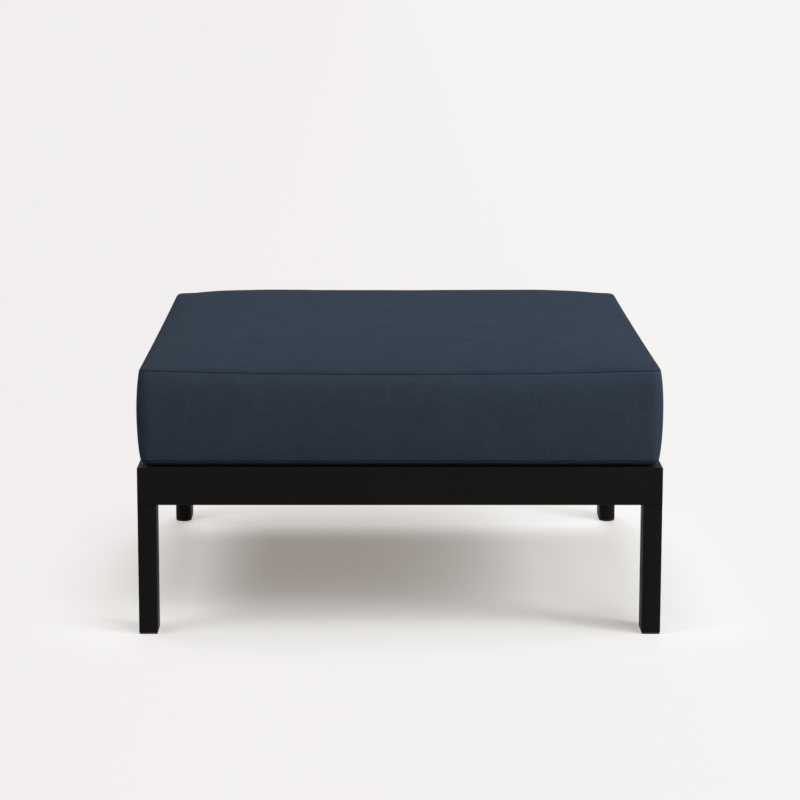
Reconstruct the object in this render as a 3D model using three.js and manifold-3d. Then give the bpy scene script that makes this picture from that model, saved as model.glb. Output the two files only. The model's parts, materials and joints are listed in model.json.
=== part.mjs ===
// An outdoor ottoman footstool: a loose boxed cushion on a low welded aluminium frame.
// Millimetres, +Z up. The origin is on the floor under the middle, and the front faces -Y.

import * as THREE from "three";
import { mergeVertices } from "three/addons/utils/BufferGeometryUtils.js";
import Module from "manifold-3d";

const wasm = await Module();
wasm.setup();

// Fits and cuts
const fitGap = 0.3; // welded, sewn, laid or pressed faces stay this far apart
const cutOverrun = 5; // how far a cutting block runs past what it cuts

// Seat frame
const frameWidth = 840;
const frameDepth = 840;
const railHeight = 61;
const railThickness = 30; // the legs are as wide
const railWall = 2;
const railEdgeRadius = 1.2;

// Legs, a flat-faced extrusion with a half-round inner side
const legHeight = 213; // floor to the underside of the rails
const legDepth = 60;
const legWall = 2.5;
const legEdgeRadius = 1.2;
const legWidth = railThickness;

// Glides under the legs
const glideLip = 3.2;
const glideInset = 0.4; // the lip stays this far inside the leg's outline
const glideEdge = 0.9;
const plugHeight = 16;
const plugWall = 1.8;
const ribDepth = 0.9;
const ribPlaceShares = [0.3, 0.7]; // along the flat side of the leg

// Seat slats, flat tubes from side rail to side rail
const slatCount = 7;
const slatWidth = 60;
const slatHeight = 12;
const slatWall = 1.5;
const slatEdgeRadius = 4;

// Cushion: two panels, a boxing wall between them, wadding and foam
const seamInset = 4.5; // from the frame's outer face in to the seam lines
const seamCornerRadius = 14;
const bottomSeamRise = 12; // above the frame
const boxingHeight = 144; // from seam to seam at the corners
const boxingBulge = 5.7;
const cornerSwell = 10; // what half way up adds to the corner radius
const seamSag = 4.5; // how far the top seam drops between the corners
const seamRoll = 4; // how far the top panel stands up just inside its seam
const seamRollReach = 3; // how far in from the seam most of that is reached
const crown = 28;
const crownPower = 6;
const underFill = 28; // the same crown below, pressed flat on the frame
const underFillPower = 12;
const bulgePower = 2.5;
const fabric = 1.2;
const hem = 10;
const wadding = 12;
const foamShoulder = 4;

// Where the cushion's surfaces get their loops of points
const cornerSteps = 3;
const sideShares = [-0.8, -0.4, 0.4, 0.8];
const panelShares = [0.45, 0.72, 0.86, 0.94, 0.98, 0.993];
const liningShares = [0.45, 0.86, 0.94];
const underShares = [0.915, 0.96, 0.985];
const underLiningShares = [0.915, 0.96];
const wallShares = [0.08, 0.22];
const flatBandShare = 0.4; // the wall is flat from here up to its mirror level

// Zip in the rear of the boxing
const zipEndInset = 32; // from the seam line at the side to the end of the zip
const zipWindow = 10; // clear height between the two rear strips
const tapeReach = 14; // from the middle of the zip to the tape's far edge
const tapeThickness = 0.8;
const chainParting = 1.2; // between the two rows of teeth
const chainRow = 2; // height of one row
const chainThickness = 2.4;
const stopLength = 2.4;
const stopLip = 0.4; // how far a stop stands above the row of teeth

// Zip slider and its pull
const sliderLength = 11;
const sliderMouth = 8.6; // height of the wide end
const sliderTail = 7.6;
const sliderPlate = 1.1;
const sliderWebLength = 3;
const sliderWeb = 0.6;
const bailInnerRadius = 1.3;
const bailRing = 1;
const bailWidth = 2;
const pullAxisRise = 1.25; // above the slider's outer plate
const pullLength = 26;
const pullWidth = 7;
const pullThickness = 1.2;
const pullBar = 1.4;
const pullEyeLength = 2.4;
const pullGripLength = 9;
const pullGripWidth = 3;
const pullGripEnd = 3; // material beyond the grip hole

// Roundness of turned and drawn corners
const edgeSegments = 3;
const halfRoundSegments = 14;
const smallRoundSegments = 10;

// Levels and half sizes that the rest follows
const frameTop = legHeight + railHeight;
const seamHalfX = frameWidth / 2 - seamInset;
const seamHalfY = frameDepth / 2 - seamInset;
const bottomSeam = frameTop + bottomSeamRise;
const topSeam = bottomSeam + boxingHeight;
const hemOuterInset = fabric + fitGap;
const hemInnerInset = hemOuterInset + fabric;
const waddingInset = hemInnerInset + fitGap;
const rimShare = hemOuterInset / boxingHeight;
const foamEdgeDrop = Math.max(hem, wadding) + hemOuterInset + fitGap + foamShoulder;
const foamEdgeShare = foamEdgeDrop / boxingHeight;
const zipHeight = (bottomSeam + topSeam - seamSag) / 2;
const zipHalf = seamHalfX - zipEndInset;

// Finishes: colour, roughness, metalness
const powderCoat = [0x191817, 0.55, 0.2];
const mouldedPlastic = [0x121212, 0.6, 0];
const navyFabric = [0x2c3a4b, 0.95, 0];
const zipTape = [0x1c242e, 0.9, 0];
const zipMetal = [0x2a2c2f, 0.4, 0.8];
const whiteWadding = [0xe6e6e2, 1, 0];
const greyFoam = [0xc9ccc8, 1, 0];

const ottoman = new THREE.Group();

function addPart(name, geometry, finish, parent = ottoman) {
  const [color, roughness, metalness] = finish;
  const material = new THREE.MeshStandardMaterial({ color, roughness, metalness });
  const mesh = new THREE.Mesh(geometry, material);
  mesh.name = name;
  parent.add(mesh);
  return mesh;
}

// Booleans: a closed geometry becomes a solid, and a solid a geometry again
function solidOf(geometry) {
  const plain = geometry.clone();
  plain.deleteAttribute("normal");
  plain.deleteAttribute("uv");
  const merged = mergeVertices(plain);
  return new wasm.Manifold(
    new wasm.Mesh({
      numProp: 3,
      vertProperties: new Float32Array(merged.attributes.position.array),
      triVerts: new Uint32Array(merged.index.array),
    }),
  );
}

function geometryOf(solid) {
  const mesh = solid.getMesh();
  const geometry = new THREE.BufferGeometry();
  geometry.setAttribute("position", new THREE.BufferAttribute(mesh.vertProperties, 3));
  geometry.setIndex(new THREE.BufferAttribute(mesh.triVerts, 1));
  geometry.computeVertexNormals();
  return geometry;
}

function block(low, high) {
  const size = high.map((value, axis) => value - low[axis]);
  const middle = high.map((value, axis) => (value + low[axis]) / 2);
  return new THREE.BoxGeometry(...size).translate(...middle);
}

// Outlines, anticlockwise; arcs turn by quarter turns from a starting quarter
function arc(x, y, radius, startQuarter, quarters, segments) {
  const points = [];
  for (let step = 0; step <= segments; step += 1) {
    const angle = ((startQuarter + (quarters * step) / segments) * Math.PI) / 2;
    points.push(new THREE.Vector2(x + radius * Math.cos(angle), y + radius * Math.sin(angle)));
  }
  return points;
}

function roundedRectangle(width, height, radius, Kind = THREE.Shape) {
  const x = width / 2 - radius;
  const y = height / 2 - radius;
  return new Kind([
    ...arc(x, -y, radius, -1, 1, edgeSegments),
    ...arc(x, y, radius, 0, 1, edgeSegments),
    ...arc(-x, y, radius, 1, 1, edgeSegments),
    ...arc(-x, -y, radius, 2, 1, edgeSegments),
  ]);
}

// The leg's section: flat outer face on y = inset, flat sides, half-round inner side
function legOutline(inset, radius, Kind = THREE.Shape) {
  const half = legWidth / 2 - inset;
  return new Kind([
    ...arc(half - radius, inset + radius, radius, -1, 1, edgeSegments),
    ...arc(0, legDepth - legWidth / 2, half, 0, 2, halfRoundSegments),
    ...arc(-half + radius, inset + radius, radius, 2, 1, edgeSegments),
  ]);
}

function tubeSection(width, height, wall, radius) {
  const section = roundedRectangle(width, height, radius);
  section.holes.push(roundedRectangle(width - 2 * wall, height - 2 * wall, radius / 2, THREE.Path));
  return section;
}

// Extrudes a section drawn in Y and Z along X, from the middle outwards
function extrudeAlongX(section, length) {
  const geometry = new THREE.ExtrudeGeometry(section, { depth: length, bevelEnabled: false });
  geometry.translate(0, 0, -length / 2);
  const yAxis = new THREE.Vector3(0, 1, 0);
  const zAxis = new THREE.Vector3(0, 0, 1);
  const xAxis = new THREE.Vector3(1, 0, 0);
  return geometry.applyMatrix4(new THREE.Matrix4().makeBasis(yAxis, zAxis, xAxis));
}

// A rail: a rectangular tube whose ends slope in at 45 degrees from the outer face
function mitredRail(length) {
  const section = tubeSection(railThickness, railHeight, railWall, railEdgeRadius);
  const geometry = extrudeAlongX(section, length);
  geometry.translate(0, railThickness / 2, railHeight / 2);
  const points = geometry.attributes.position;
  for (let i = 0; i < points.count; i += 1) {
    const x = points.getX(i);
    const slope = points.getY(i) + fitGap * Math.SQRT1_2;
    points.setX(i, x - Math.sign(x) * slope);
  }
  geometry.computeVertexNormals();
  return geometry;
}

function addRails() {
  const names = ["front_rail", "right_rail", "rear_rail", "left_rail"];
  names.forEach((name, turn) => {
    const alongX = turn % 2 === 0;
    const side = new THREE.Group();
    side.rotation.z = (turn * Math.PI) / 2;
    ottoman.add(side);
    const rail = addPart(name, mitredRail(alongX ? frameWidth : frameDepth), powderCoat, side);
    rail.position.set(0, -(alongX ? frameDepth : frameWidth) / 2, legHeight);
  });
}

function legGeometry() {
  const section = legOutline(0, legEdgeRadius);
  section.holes.push(legOutline(legWall, legEdgeRadius / 2, THREE.Path));
  const foot = glideLip + fitGap;
  const depth = legHeight - foot;
  const geometry = new THREE.ExtrudeGeometry(section, { depth, bevelEnabled: false });
  return geometry.translate(0, 0, foot);
}

// A glide: a lip of the leg's outline, and a hollow plug whose ribs grip inside the tube
function glideGeometry() {
  const lip = new THREE.ExtrudeGeometry(legOutline(glideInset, legEdgeRadius), {
    depth: glideLip - 2 * glideEdge,
    bevelThickness: glideEdge,
    bevelSize: glideEdge,
    bevelOffset: -glideEdge,
    bevelSegments: 2,
  }).translate(0, 0, glideEdge);
  const plugInset = legWall + fitGap + ribDepth;
  const plugSection = legOutline(plugInset, legEdgeRadius / 2);
  plugSection.holes.push(legOutline(plugInset + plugWall, legEdgeRadius / 4, THREE.Path));
  const plugDepth = plugHeight + glideLip / 2;
  const plug = new THREE.ExtrudeGeometry(plugSection, { depth: plugDepth, bevelEnabled: false });
  plug.translate(0, 0, glideLip / 2);
  let glide = solidOf(lip).add(solidOf(plug));
  const flatStart = plugInset;
  const flatLength = legDepth - legWidth / 2 - flatStart;
  for (const sideSign of [-1, 1]) {
    for (const share of ribPlaceShares) {
      const rib = new THREE.CylinderGeometry(ribDepth, ribDepth, plugDepth, smallRoundSegments);
      rib.rotateX(Math.PI / 2);
      rib.translate(
        sideSign * (legWidth / 2 - plugInset),
        flatStart + share * flatLength,
        glideLip / 2 + plugDepth / 2,
      );
      glide = glide.add(solidOf(rib));
    }
  }
  return geometryOf(glide);
}

function addLegs() {
  for (const [end, turn, endSign] of [["front", 0, -1], ["rear", Math.PI, 1]]) {
    for (const [side, sideSign] of [["left", -1], ["right", 1]]) {
      const corner = new THREE.Group();
      corner.position.set((sideSign * (frameWidth - legWidth)) / 2, (endSign * frameDepth) / 2, 0);
      corner.rotation.z = turn;
      ottoman.add(corner);
      addPart(`${end}_${side}_leg`, legGeometry(), powderCoat, corner);
      addPart(`${end}_${side}_glide`, glideGeometry(), mouldedPlastic, corner);
    }
  }
}

function addSlats() {
  const length = frameWidth - 2 * (railThickness + fitGap);
  const pitch = (frameDepth - 2 * railThickness) / slatCount;
  const section = tubeSection(slatWidth, slatHeight, slatWall, slatEdgeRadius);
  for (let i = 0; i < slatCount; i += 1) {
    const slat = addPart(`seat_slat_${i + 1}`, extrudeAlongX(section, length), powderCoat);
    slat.position.set(0, (i - (slatCount - 1) / 2) * pitch, frameTop - slatHeight / 2);
  }
}

// The cushion's surfaces, as heights over a place in plan
function planShares(x, y) {
  return [Math.min(Math.abs(x) / seamHalfX, 1), Math.min(Math.abs(y) / seamHalfY, 1)];
}

function fullness(x, y, power) {
  const [u, v] = planShares(x, y);
  return (1 - u ** power) * (1 - v ** power);
}

function topSeamHeight(x, y) {
  const [u, v] = planShares(x, y);
  return topSeam - seamSag * (1 - (u * v) ** 2);
}

// How far a place in plan is in from the rounded seam line
function inFromSeam(x, y) {
  const overX = Math.abs(x) - (seamHalfX - seamCornerRadius);
  const overY = Math.abs(y) - (seamHalfY - seamCornerRadius);
  const beyond = Math.hypot(Math.max(overX, 0), Math.max(overY, 0));
  return Math.max(seamCornerRadius - beyond - Math.min(Math.max(overX, overY), 0), 0);
}

function topHeight(x, y) {
  const roll = seamRoll * (1 - Math.exp(-inFromSeam(x, y) / seamRollReach));
  return topSeamHeight(x, y) + roll + crown * fullness(x, y, crownPower);
}

function underHeight(x, y) {
  const free = bottomSeam - underFill * fullness(x, y, underFillPower);
  return Math.max(free, frameTop + fitGap);
}

// How far the boxing stands out beyond the seam lines, from 0 at them to 1 half way up
function bulgeAt(share) {
  return 1 - Math.abs(2 * share - 1) ** bulgePower;
}

function wallHeight(x, y, share) {
  return bottomSeam + (topSeamHeight(x, y) - bottomSeam) * share;
}

// A loop round a rounded rectangle in plan, anticlockwise, with the height of each point
function planLoop(halfX, halfY, radius, heightAt) {
  const corners = [[1, 1], [-1, 1], [-1, -1], [1, -1]];
  const arcs = corners.map(([signX, signY], turn) => {
    const arc = [];
    for (let step = 0; step <= cornerSteps; step += 1) {
      const angle = ((turn + step / cornerSteps) * Math.PI) / 2;
      const x = signX * (halfX - radius) + radius * Math.cos(angle);
      const y = signY * (halfY - radius) + radius * Math.sin(angle);
      arc.push(new THREE.Vector2(x, y));
    }
    return arc;
  });
  const loop = arcs.flatMap((arc, turn) => {
    const start = arc[cornerSteps];
    const end = arcs[(turn + 1) % arcs.length][0];
    const side = sideShares.map((share) => start.clone().lerp(end, (share + 1) / 2));
    return [...arc, ...side];
  });
  return loop.map(({ x, y }) => new THREE.Vector3(x, y, heightAt(x, y)));
}

function seamLoop(inset, heightAt) {
  const radius = Math.max(seamCornerRadius - inset, fitGap);
  return planLoop(seamHalfX - inset, seamHalfY - inset, radius, heightAt);
}

function shareLoop(share, heightAt) {
  return planLoop(share * seamHalfX, share * seamHalfY, share * seamCornerRadius, heightAt);
}

function wallLoop(share, inset) {
  const out = boxingBulge * bulgeAt(share) - inset;
  const radius = seamCornerRadius + cornerSwell * bulgeAt(share) - inset;
  return planLoop(seamHalfX + out, seamHalfY + out, radius, (x, y) => wallHeight(x, y, share));
}

// Levels up the wall: the given ones in its lower half and their mirrors in the upper half
function mirrored(lowerShares) {
  const upperShares = lowerShares.map((share) => 1 - share).reverse();
  return [...lowerShares, ...upperShares];
}

// Stitches loops in order, from the top middle outwards, down and back in; a lone point is a pole.
// Each four-sided face is split along its shorter diagonal, so stacked layers are split alike.
function stitch(loops, ringShaped = false) {
  const points = loops.flat();
  const starts = [];
  let count = 0;
  for (const loop of loops) {
    starts.push(count);
    count += loop.length;
  }
  const triangles = [];
  const bands = ringShaped ? loops.length : loops.length - 1;
  for (let i = 0; i < bands; i += 1) {
    const next = (i + 1) % loops.length;
    const size = Math.max(loops[i].length, loops[next].length);
    const here = (j) => starts[i] + (loops[i].length === 1 ? 0 : j % size);
    const there = (j) => starts[next] + (loops[next].length === 1 ? 0 : j % size);
    const span = (a, b) => points[a].distanceTo(points[b]);
    for (let j = 0; j < size; j += 1) {
      const [a, b, c, d] = [here(j), there(j), there(j + 1), here(j + 1)];
      if (a === d) triangles.push(a, b, c);
      else if (b === c) triangles.push(a, b, d);
      else if (span(a, c) < span(b, d)) triangles.push(a, b, c, a, c, d);
      else triangles.push(a, b, d, b, c, d);
    }
  }
  const geometry = new THREE.BufferGeometry().setFromPoints(points);
  geometry.setIndex(triangles);
  geometry.computeVertexNormals();
  return geometry;
}

function pole(heightAt) {
  return [new THREE.Vector3(0, 0, heightAt(0, 0))];
}

function loopsOf(shares, heightAt) {
  return shares.map((share) => shareLoop(share, heightAt));
}

const lowered = (heightAt, drop) => (x, y) => heightAt(x, y) - drop;

// The top panel, crowned, with its seam allowance turned down inside the boxing
function topPanelGeometry() {
  const lining = lowered(topHeight, fabric);
  const hemEnd = lowered(topHeight, fabric + hem);
  return stitch([
    pole(topHeight),
    ...loopsOf(panelShares, topHeight),
    seamLoop(0, topHeight),
    seamLoop(0, lining),
    seamLoop(hemOuterInset, lining),
    seamLoop(hemOuterInset, hemEnd),
    seamLoop(hemInnerInset, hemEnd),
    seamLoop(hemInnerInset, lining),
    ...loopsOf(liningShares, lining).reverse(),
    pole(lining),
  ]);
}

// The bottom panel, rolled under at its edge and flat where it lies on the frame
function bottomPanelGeometry() {
  const lining = lowered(underHeight, -fabric);
  const hemEnd = lowered(underHeight, -(fabric + hem));
  return stitch([
    pole(lining),
    ...loopsOf(underLiningShares, lining),
    seamLoop(hemInnerInset, lining),
    seamLoop(hemInnerInset, hemEnd),
    seamLoop(hemOuterInset, hemEnd),
    seamLoop(hemOuterInset, lining),
    seamLoop(0, lining),
    seamLoop(0, underHeight),
    ...loopsOf(underShares, underHeight).reverse(),
    pole(underHeight),
  ]);
}

// The whole boxing wall, before the zip is let into its rear
function boxingWall() {
  const outer = mirrored([rimShare, ...wallShares, flatBandShare]).reverse();
  const lining = mirrored([rimShare, foamEdgeShare, flatBandShare]);
  const loops = outer.map((share) => wallLoop(share, 0));
  loops.push(...lining.map((share) => wallLoop(share, fabric)));
  return solidOf(stitch(loops, true));
}

// The three strips of the boxing: one round the front and sides, two beside the zip
function addBoxing() {
  const wall = boxingWall();
  const farY = seamHalfY + boxingBulge + cutOverrun;
  const low = bottomSeam - cutOverrun;
  const high = topSeam + cutOverrun;
  const rear = solidOf(block([-zipHalf, 0, low], [zipHalf, farY, high]));
  const joinEdge = zipHalf - fitGap;
  const above = zipHeight + zipWindow / 2;
  const below = zipHeight - zipWindow / 2;
  const upper = solidOf(block([-joinEdge, 0, above], [joinEdge, farY, high]));
  const lower = solidOf(block([-joinEdge, 0, low], [joinEdge, farY, below]));
  addPart("cover_boxing", geometryOf(wall.subtract(rear)), navyFabric);
  addPart("cover_zip_strip_upper", geometryOf(wall.intersect(upper)), navyFabric);
  addPart("cover_zip_strip_lower", geometryOf(wall.intersect(lower)), navyFabric);
}

function waddingGeometry(surface, towardsFoam) {
  const face = lowered(surface, towardsFoam * (fabric + fitGap));
  const back = lowered(surface, towardsFoam * (fabric + fitGap + wadding));
  const [top, under] = towardsFoam > 0 ? [face, back] : [back, face];
  const shares = towardsFoam > 0 ? liningShares : underLiningShares;
  return stitch([
    pole(top),
    ...loopsOf(shares, top),
    seamLoop(waddingInset, top),
    seamLoop(waddingInset, under),
    ...loopsOf(shares, under).reverse(),
    pole(under),
  ]);
}

// The zip's levels across the rear wall, from the cover's lining inwards
const zipWall = seamHalfY + boxingBulge * bulgeAt(flatBandShare);
const tapeOuter = zipWall - fabric - fitGap;
const tapeMiddle = tapeOuter - tapeThickness / 2;
const pocketHalf = chainThickness / 2 + fitGap;
const sliderOuter = tapeMiddle + pocketHalf + sliderPlate;
const sliderInner = tapeMiddle - pocketHalf - sliderPlate;
const chainTop = chainParting / 2 + chainRow;
const chainHalf = zipHalf - fitGap - stopLength - fitGap;
const sliderRest = chainHalf - sliderLength / 2;

// The foam, crowned like the cover, with a relief behind the zip
function foamGeometry() {
  const cover = fabric + fitGap;
  const depth = cover + wadding + fitGap;
  const top = lowered(topHeight, depth);
  const under = lowered(underHeight, -depth);
  const sideLevels = mirrored([foamEdgeShare, flatBandShare]).reverse();
  const foam = solidOf(
    stitch([
      pole(top),
      ...loopsOf(liningShares, top),
      ...sideLevels.map((share) => wallLoop(share, cover)),
      ...loopsOf(underLiningShares, under).reverse(),
      pole(under),
    ]),
  );
  const reach = tapeReach + fitGap;
  const relief = block(
    [-zipHalf, sliderInner - fitGap, zipHeight - reach],
    [zipHalf, sliderOuter + cutOverrun, zipHeight + reach],
  );
  return geometryOf(foam.subtract(solidOf(relief)));
}

function addCushion() {
  addPart("cover_top_panel", topPanelGeometry(), navyFabric);
  addBoxing();
  addPart("cover_bottom_panel", bottomPanelGeometry(), navyFabric);
  addPart("wadding_top", waddingGeometry(topHeight, 1), whiteWadding);
  addPart("foam_core", foamGeometry(), greyFoam);
  addPart("wadding_bottom", waddingGeometry(underHeight, -1), whiteWadding);
}

// One half of the zip: a tape with its row of teeth along the inner edge
function zipSideGeometry(upSign) {
  const half = zipHalf - fitGap;
  const halfTape = tapeThickness / 2;
  const halfChain = chainThickness / 2;
  const start = chainParting / 2;
  const section = new THREE.Shape();
  section.moveTo(-halfTape, upSign * tapeReach);
  section.lineTo(-halfTape, upSign * start);
  section.lineTo(halfTape, upSign * start);
  section.lineTo(halfTape, upSign * tapeReach);
  section.closePath();
  const teeth = new THREE.Shape();
  teeth.moveTo(-halfChain, upSign * (start + chainRow));
  teeth.lineTo(-halfChain, upSign * start);
  teeth.lineTo(halfChain, upSign * start);
  teeth.lineTo(halfChain, upSign * (start + chainRow));
  teeth.closePath();
  const tape = solidOf(extrudeAlongX(section, 2 * half));
  const row = solidOf(extrudeAlongX(teeth, 2 * chainHalf));
  return geometryOf(tape.add(row));
}

// A stop at the end of one row: a clip folded round the tape's edge
function stopGeometry(upSign) {
  const inner = tapeThickness / 2 + fitGap;
  const outer = chainThickness / 2 + stopLip;
  const edge = fitGap;
  const fold = chainParting / 2 - fitGap;
  const far = chainTop + stopLip;
  const clip = new THREE.Shape();
  clip.moveTo(-outer, upSign * far);
  clip.lineTo(-outer, upSign * (edge / 2));
  clip.lineTo(outer, upSign * (edge / 2));
  clip.lineTo(outer, upSign * far);
  clip.lineTo(inner, upSign * far);
  clip.lineTo(inner, upSign * fold);
  clip.lineTo(-inner, upSign * fold);
  clip.lineTo(-inner, upSign * far);
  clip.closePath();
  return extrudeAlongX(clip, stopLength);
}

function addZip() {
  const zip = new THREE.Group();
  zip.position.set(0, tapeMiddle, zipHeight);
  ottoman.add(zip);
  const stopPlace = chainHalf + fitGap + stopLength / 2;
  for (const [level, upSign] of [["upper", 1], ["lower", -1]]) {
    addPart(`zip_tape_${level}`, zipSideGeometry(upSign), zipTape, zip);
    for (const [end, endSign] of [["closed", 1], ["open", -1]]) {
      const stop = addPart(`zip_stop_${end}_${level}`, stopGeometry(upSign), zipMetal, zip);
      stop.position.x = endSign * stopPlace;
    }
  }
}

// Draws a flat piece of the zip in X and Z, thick along Y from y = 0
function extrudeAlongY(outline, thickness) {
  const geometry = new THREE.ExtrudeGeometry(outline, { depth: thickness, bevelEnabled: false });
  return geometry.rotateX(Math.PI / 2).translate(0, thickness, 0);
}

// The slider: two plates round the teeth, joined by a web between the rows, with a bail for the pull
function sliderGeometry() {
  const half = sliderLength / 2;
  const outline = new THREE.Shape();
  outline.moveTo(-half, -sliderTail / 2);
  outline.lineTo(0, -sliderTail / 2);
  outline.lineTo(half - sliderWebLength / 2, -sliderMouth / 2);
  outline.lineTo(half, -sliderMouth / 2 + sliderPlate);
  outline.lineTo(half, sliderMouth / 2 - sliderPlate);
  outline.lineTo(half - sliderWebLength / 2, sliderMouth / 2);
  outline.lineTo(0, sliderTail / 2);
  outline.lineTo(-half, sliderTail / 2);
  outline.closePath();
  const plateHalf = pocketHalf + sliderPlate;
  const shell = extrudeAlongY(outline, 2 * plateHalf).translate(0, -plateHalf, 0);
  const pocketReach = chainTop + fitGap;
  const over = half + cutOverrun;
  const pocket = block([-over, -pocketHalf, -pocketReach], [over, pocketHalf, pocketReach]);
  const slotHalf = tapeThickness / 2 + fitGap;
  const slot = block([-over, -slotHalf, -over], [over, slotHalf, over]);
  const webEnd = half - sliderPlate;
  const web = block(
    [webEnd - sliderWebLength, -pocketHalf - sliderPlate / 2, -sliderWeb / 2],
    [webEnd, pocketHalf + sliderPlate / 2, sliderWeb / 2],
  );
  const body = solidOf(shell).subtract(solidOf(pocket)).subtract(solidOf(slot)).add(solidOf(web));
  return geometryOf(body.add(solidOf(bailGeometry(plateHalf))));
}

// The bail: a half ring round the pull's axis on two straight legs
function bailGeometry(plateHalf) {
  const outerRadius = bailInnerRadius + bailRing;
  const foot = -pullAxisRise - sliderPlate / 2;
  const arch = new THREE.Shape([
    new THREE.Vector2(outerRadius, foot),
    ...arc(0, 0, outerRadius, 0, 2, smallRoundSegments),
    new THREE.Vector2(-outerRadius, foot),
    new THREE.Vector2(-bailInnerRadius, foot),
    ...arc(0, 0, bailInnerRadius, 2, -2, smallRoundSegments),
    new THREE.Vector2(bailInnerRadius, foot),
  ]);
  const bail = new THREE.ExtrudeGeometry(arch, { depth: bailWidth, bevelEnabled: false });
  return bail.translate(0, plateHalf + pullAxisRise, -bailWidth / 2);
}

// The pull: a tab that lies back along the zip, with a round bar through the bail and a grip hole
function pullGeometry() {
  const eyeFar = bailInnerRadius + bailRing + fitGap;
  const half = pullWidth / 2;
  const tab = new THREE.Shape([
    new THREE.Vector2(0, -half + pullBar),
    new THREE.Vector2(0, half - pullBar),
    new THREE.Vector2(-eyeFar, half),
    ...arc(-pullLength + half, 0, half, 1, 2, smallRoundSegments),
    new THREE.Vector2(-eyeFar, -half),
  ]);
  const eyeNear = -pullBar / 2;
  const eyeEnd = eyeNear - pullEyeLength;
  const eyeHalf = bailWidth / 2 + fitGap;
  const eye = new THREE.Path([
    new THREE.Vector2(eyeNear, -eyeHalf),
    new THREE.Vector2(eyeNear, eyeHalf),
    new THREE.Vector2(eyeEnd, eyeHalf),
    new THREE.Vector2(eyeEnd, -eyeHalf),
  ]);
  const gripRadius = pullGripWidth / 2;
  const gripFar = -pullLength + pullGripEnd + gripRadius;
  const gripNear = gripFar + pullGripLength - pullGripWidth;
  const grip = new THREE.Path([
    ...arc(gripFar, 0, gripRadius, 1, 2, smallRoundSegments),
    ...arc(gripNear, 0, gripRadius, -1, 2, smallRoundSegments),
  ]);
  tab.holes.push(eye, grip);
  const plate = extrudeAlongY(tab, pullThickness).translate(0, -pullThickness / 2, 0);
  const barLength = pullWidth - 2 * pullBar;
  const bar = new THREE.CylinderGeometry(pullBar / 2, pullBar / 2, barLength, smallRoundSegments);
  return geometryOf(solidOf(plate).add(solidOf(bar.rotateX(Math.PI / 2))));
}

function addSlider() {
  const slider = new THREE.Group();
  slider.position.set(sliderRest, tapeMiddle, zipHeight);
  ottoman.add(slider);
  addPart("zip_slider", sliderGeometry(), zipMetal, slider);
  const pull = addPart("zip_pull", pullGeometry(), zipMetal, slider);
  pull.position.y = sliderOuter - tapeMiddle + pullAxisRise;
}

addRails();
addLegs();
addSlats();
addCushion();
addZip();
addSlider();

export default ottoman;
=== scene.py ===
"""The looks of an outdoor ottoman footstool, built round its CAD frame: finishes for the
welded frame, a sewn and filled cushion cover, the filling in it and the zip in its rear.
Metres, +Z up; the front faces -Y."""

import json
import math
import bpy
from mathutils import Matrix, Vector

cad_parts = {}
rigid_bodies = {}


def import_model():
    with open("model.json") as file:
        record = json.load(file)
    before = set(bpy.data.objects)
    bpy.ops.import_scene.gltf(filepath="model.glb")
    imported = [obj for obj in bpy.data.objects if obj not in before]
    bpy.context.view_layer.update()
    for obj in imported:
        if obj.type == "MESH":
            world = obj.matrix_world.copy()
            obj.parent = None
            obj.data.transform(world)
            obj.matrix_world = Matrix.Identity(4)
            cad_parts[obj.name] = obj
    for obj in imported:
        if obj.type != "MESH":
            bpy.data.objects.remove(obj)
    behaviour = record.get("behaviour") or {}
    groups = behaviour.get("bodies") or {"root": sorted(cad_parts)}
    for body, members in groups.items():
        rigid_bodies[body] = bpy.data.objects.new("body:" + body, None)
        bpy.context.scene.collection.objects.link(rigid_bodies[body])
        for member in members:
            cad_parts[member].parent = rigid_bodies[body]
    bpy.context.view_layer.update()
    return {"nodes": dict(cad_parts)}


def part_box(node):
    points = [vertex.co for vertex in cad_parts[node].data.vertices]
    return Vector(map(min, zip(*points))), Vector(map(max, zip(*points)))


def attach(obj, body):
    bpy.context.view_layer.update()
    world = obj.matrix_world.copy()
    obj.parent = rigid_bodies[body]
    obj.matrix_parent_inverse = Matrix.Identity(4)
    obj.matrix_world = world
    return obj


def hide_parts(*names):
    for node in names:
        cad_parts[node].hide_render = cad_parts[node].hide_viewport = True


bl_info = {
    "name": "Outdoor Ottoman Footstool",
    "version": (1, 0, 0),
    "blender": (4, 5, 0),
    "location": "3D View > Sidebar > Ottoman",
    "description": "Builds the cushion, zip, finishes and stage of an outdoor ottoman",
    "category": "Object",
}

import bmesh
import bpy
import numpy as np
from bpy.props import FloatProperty, FloatVectorProperty, PointerProperty
from mathutils import Vector, noise

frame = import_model()

TOP_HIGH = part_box("cover_top_panel")[1]
WALL_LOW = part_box("cover_boxing")[0]
UNDER_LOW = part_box("cover_bottom_panel")[0]
TAPE_LOW, TAPE_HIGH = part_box("zip_tape_upper")
LOWER_TAPE_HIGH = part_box("zip_tape_lower")[1]
RAIL_LOW, RAIL_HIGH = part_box("front_rail")
TINY = 1e-6
BEHIND = 0.4  # a point further back than this is in the rear wall


def number(name, description, default):
    return FloatProperty(name=name, description=description, default=default)


def length(name, description, default):
    return FloatProperty(
        name=name, description=description, default=default, unit="LENGTH", precision=4
    )


def turn(name, description, degrees):
    angle = math.radians(degrees)
    return FloatProperty(name=name, description=description, default=angle, unit="ROTATION")


def share(name, description, default):
    return FloatProperty(
        name=name, description=description, default=default, min=0, max=1, subtype="FACTOR"
    )


def colour(name, description, default):
    return FloatVectorProperty(
        name=name, description=description, default=default, min=0, max=1, subtype="COLOR"
    )


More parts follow.
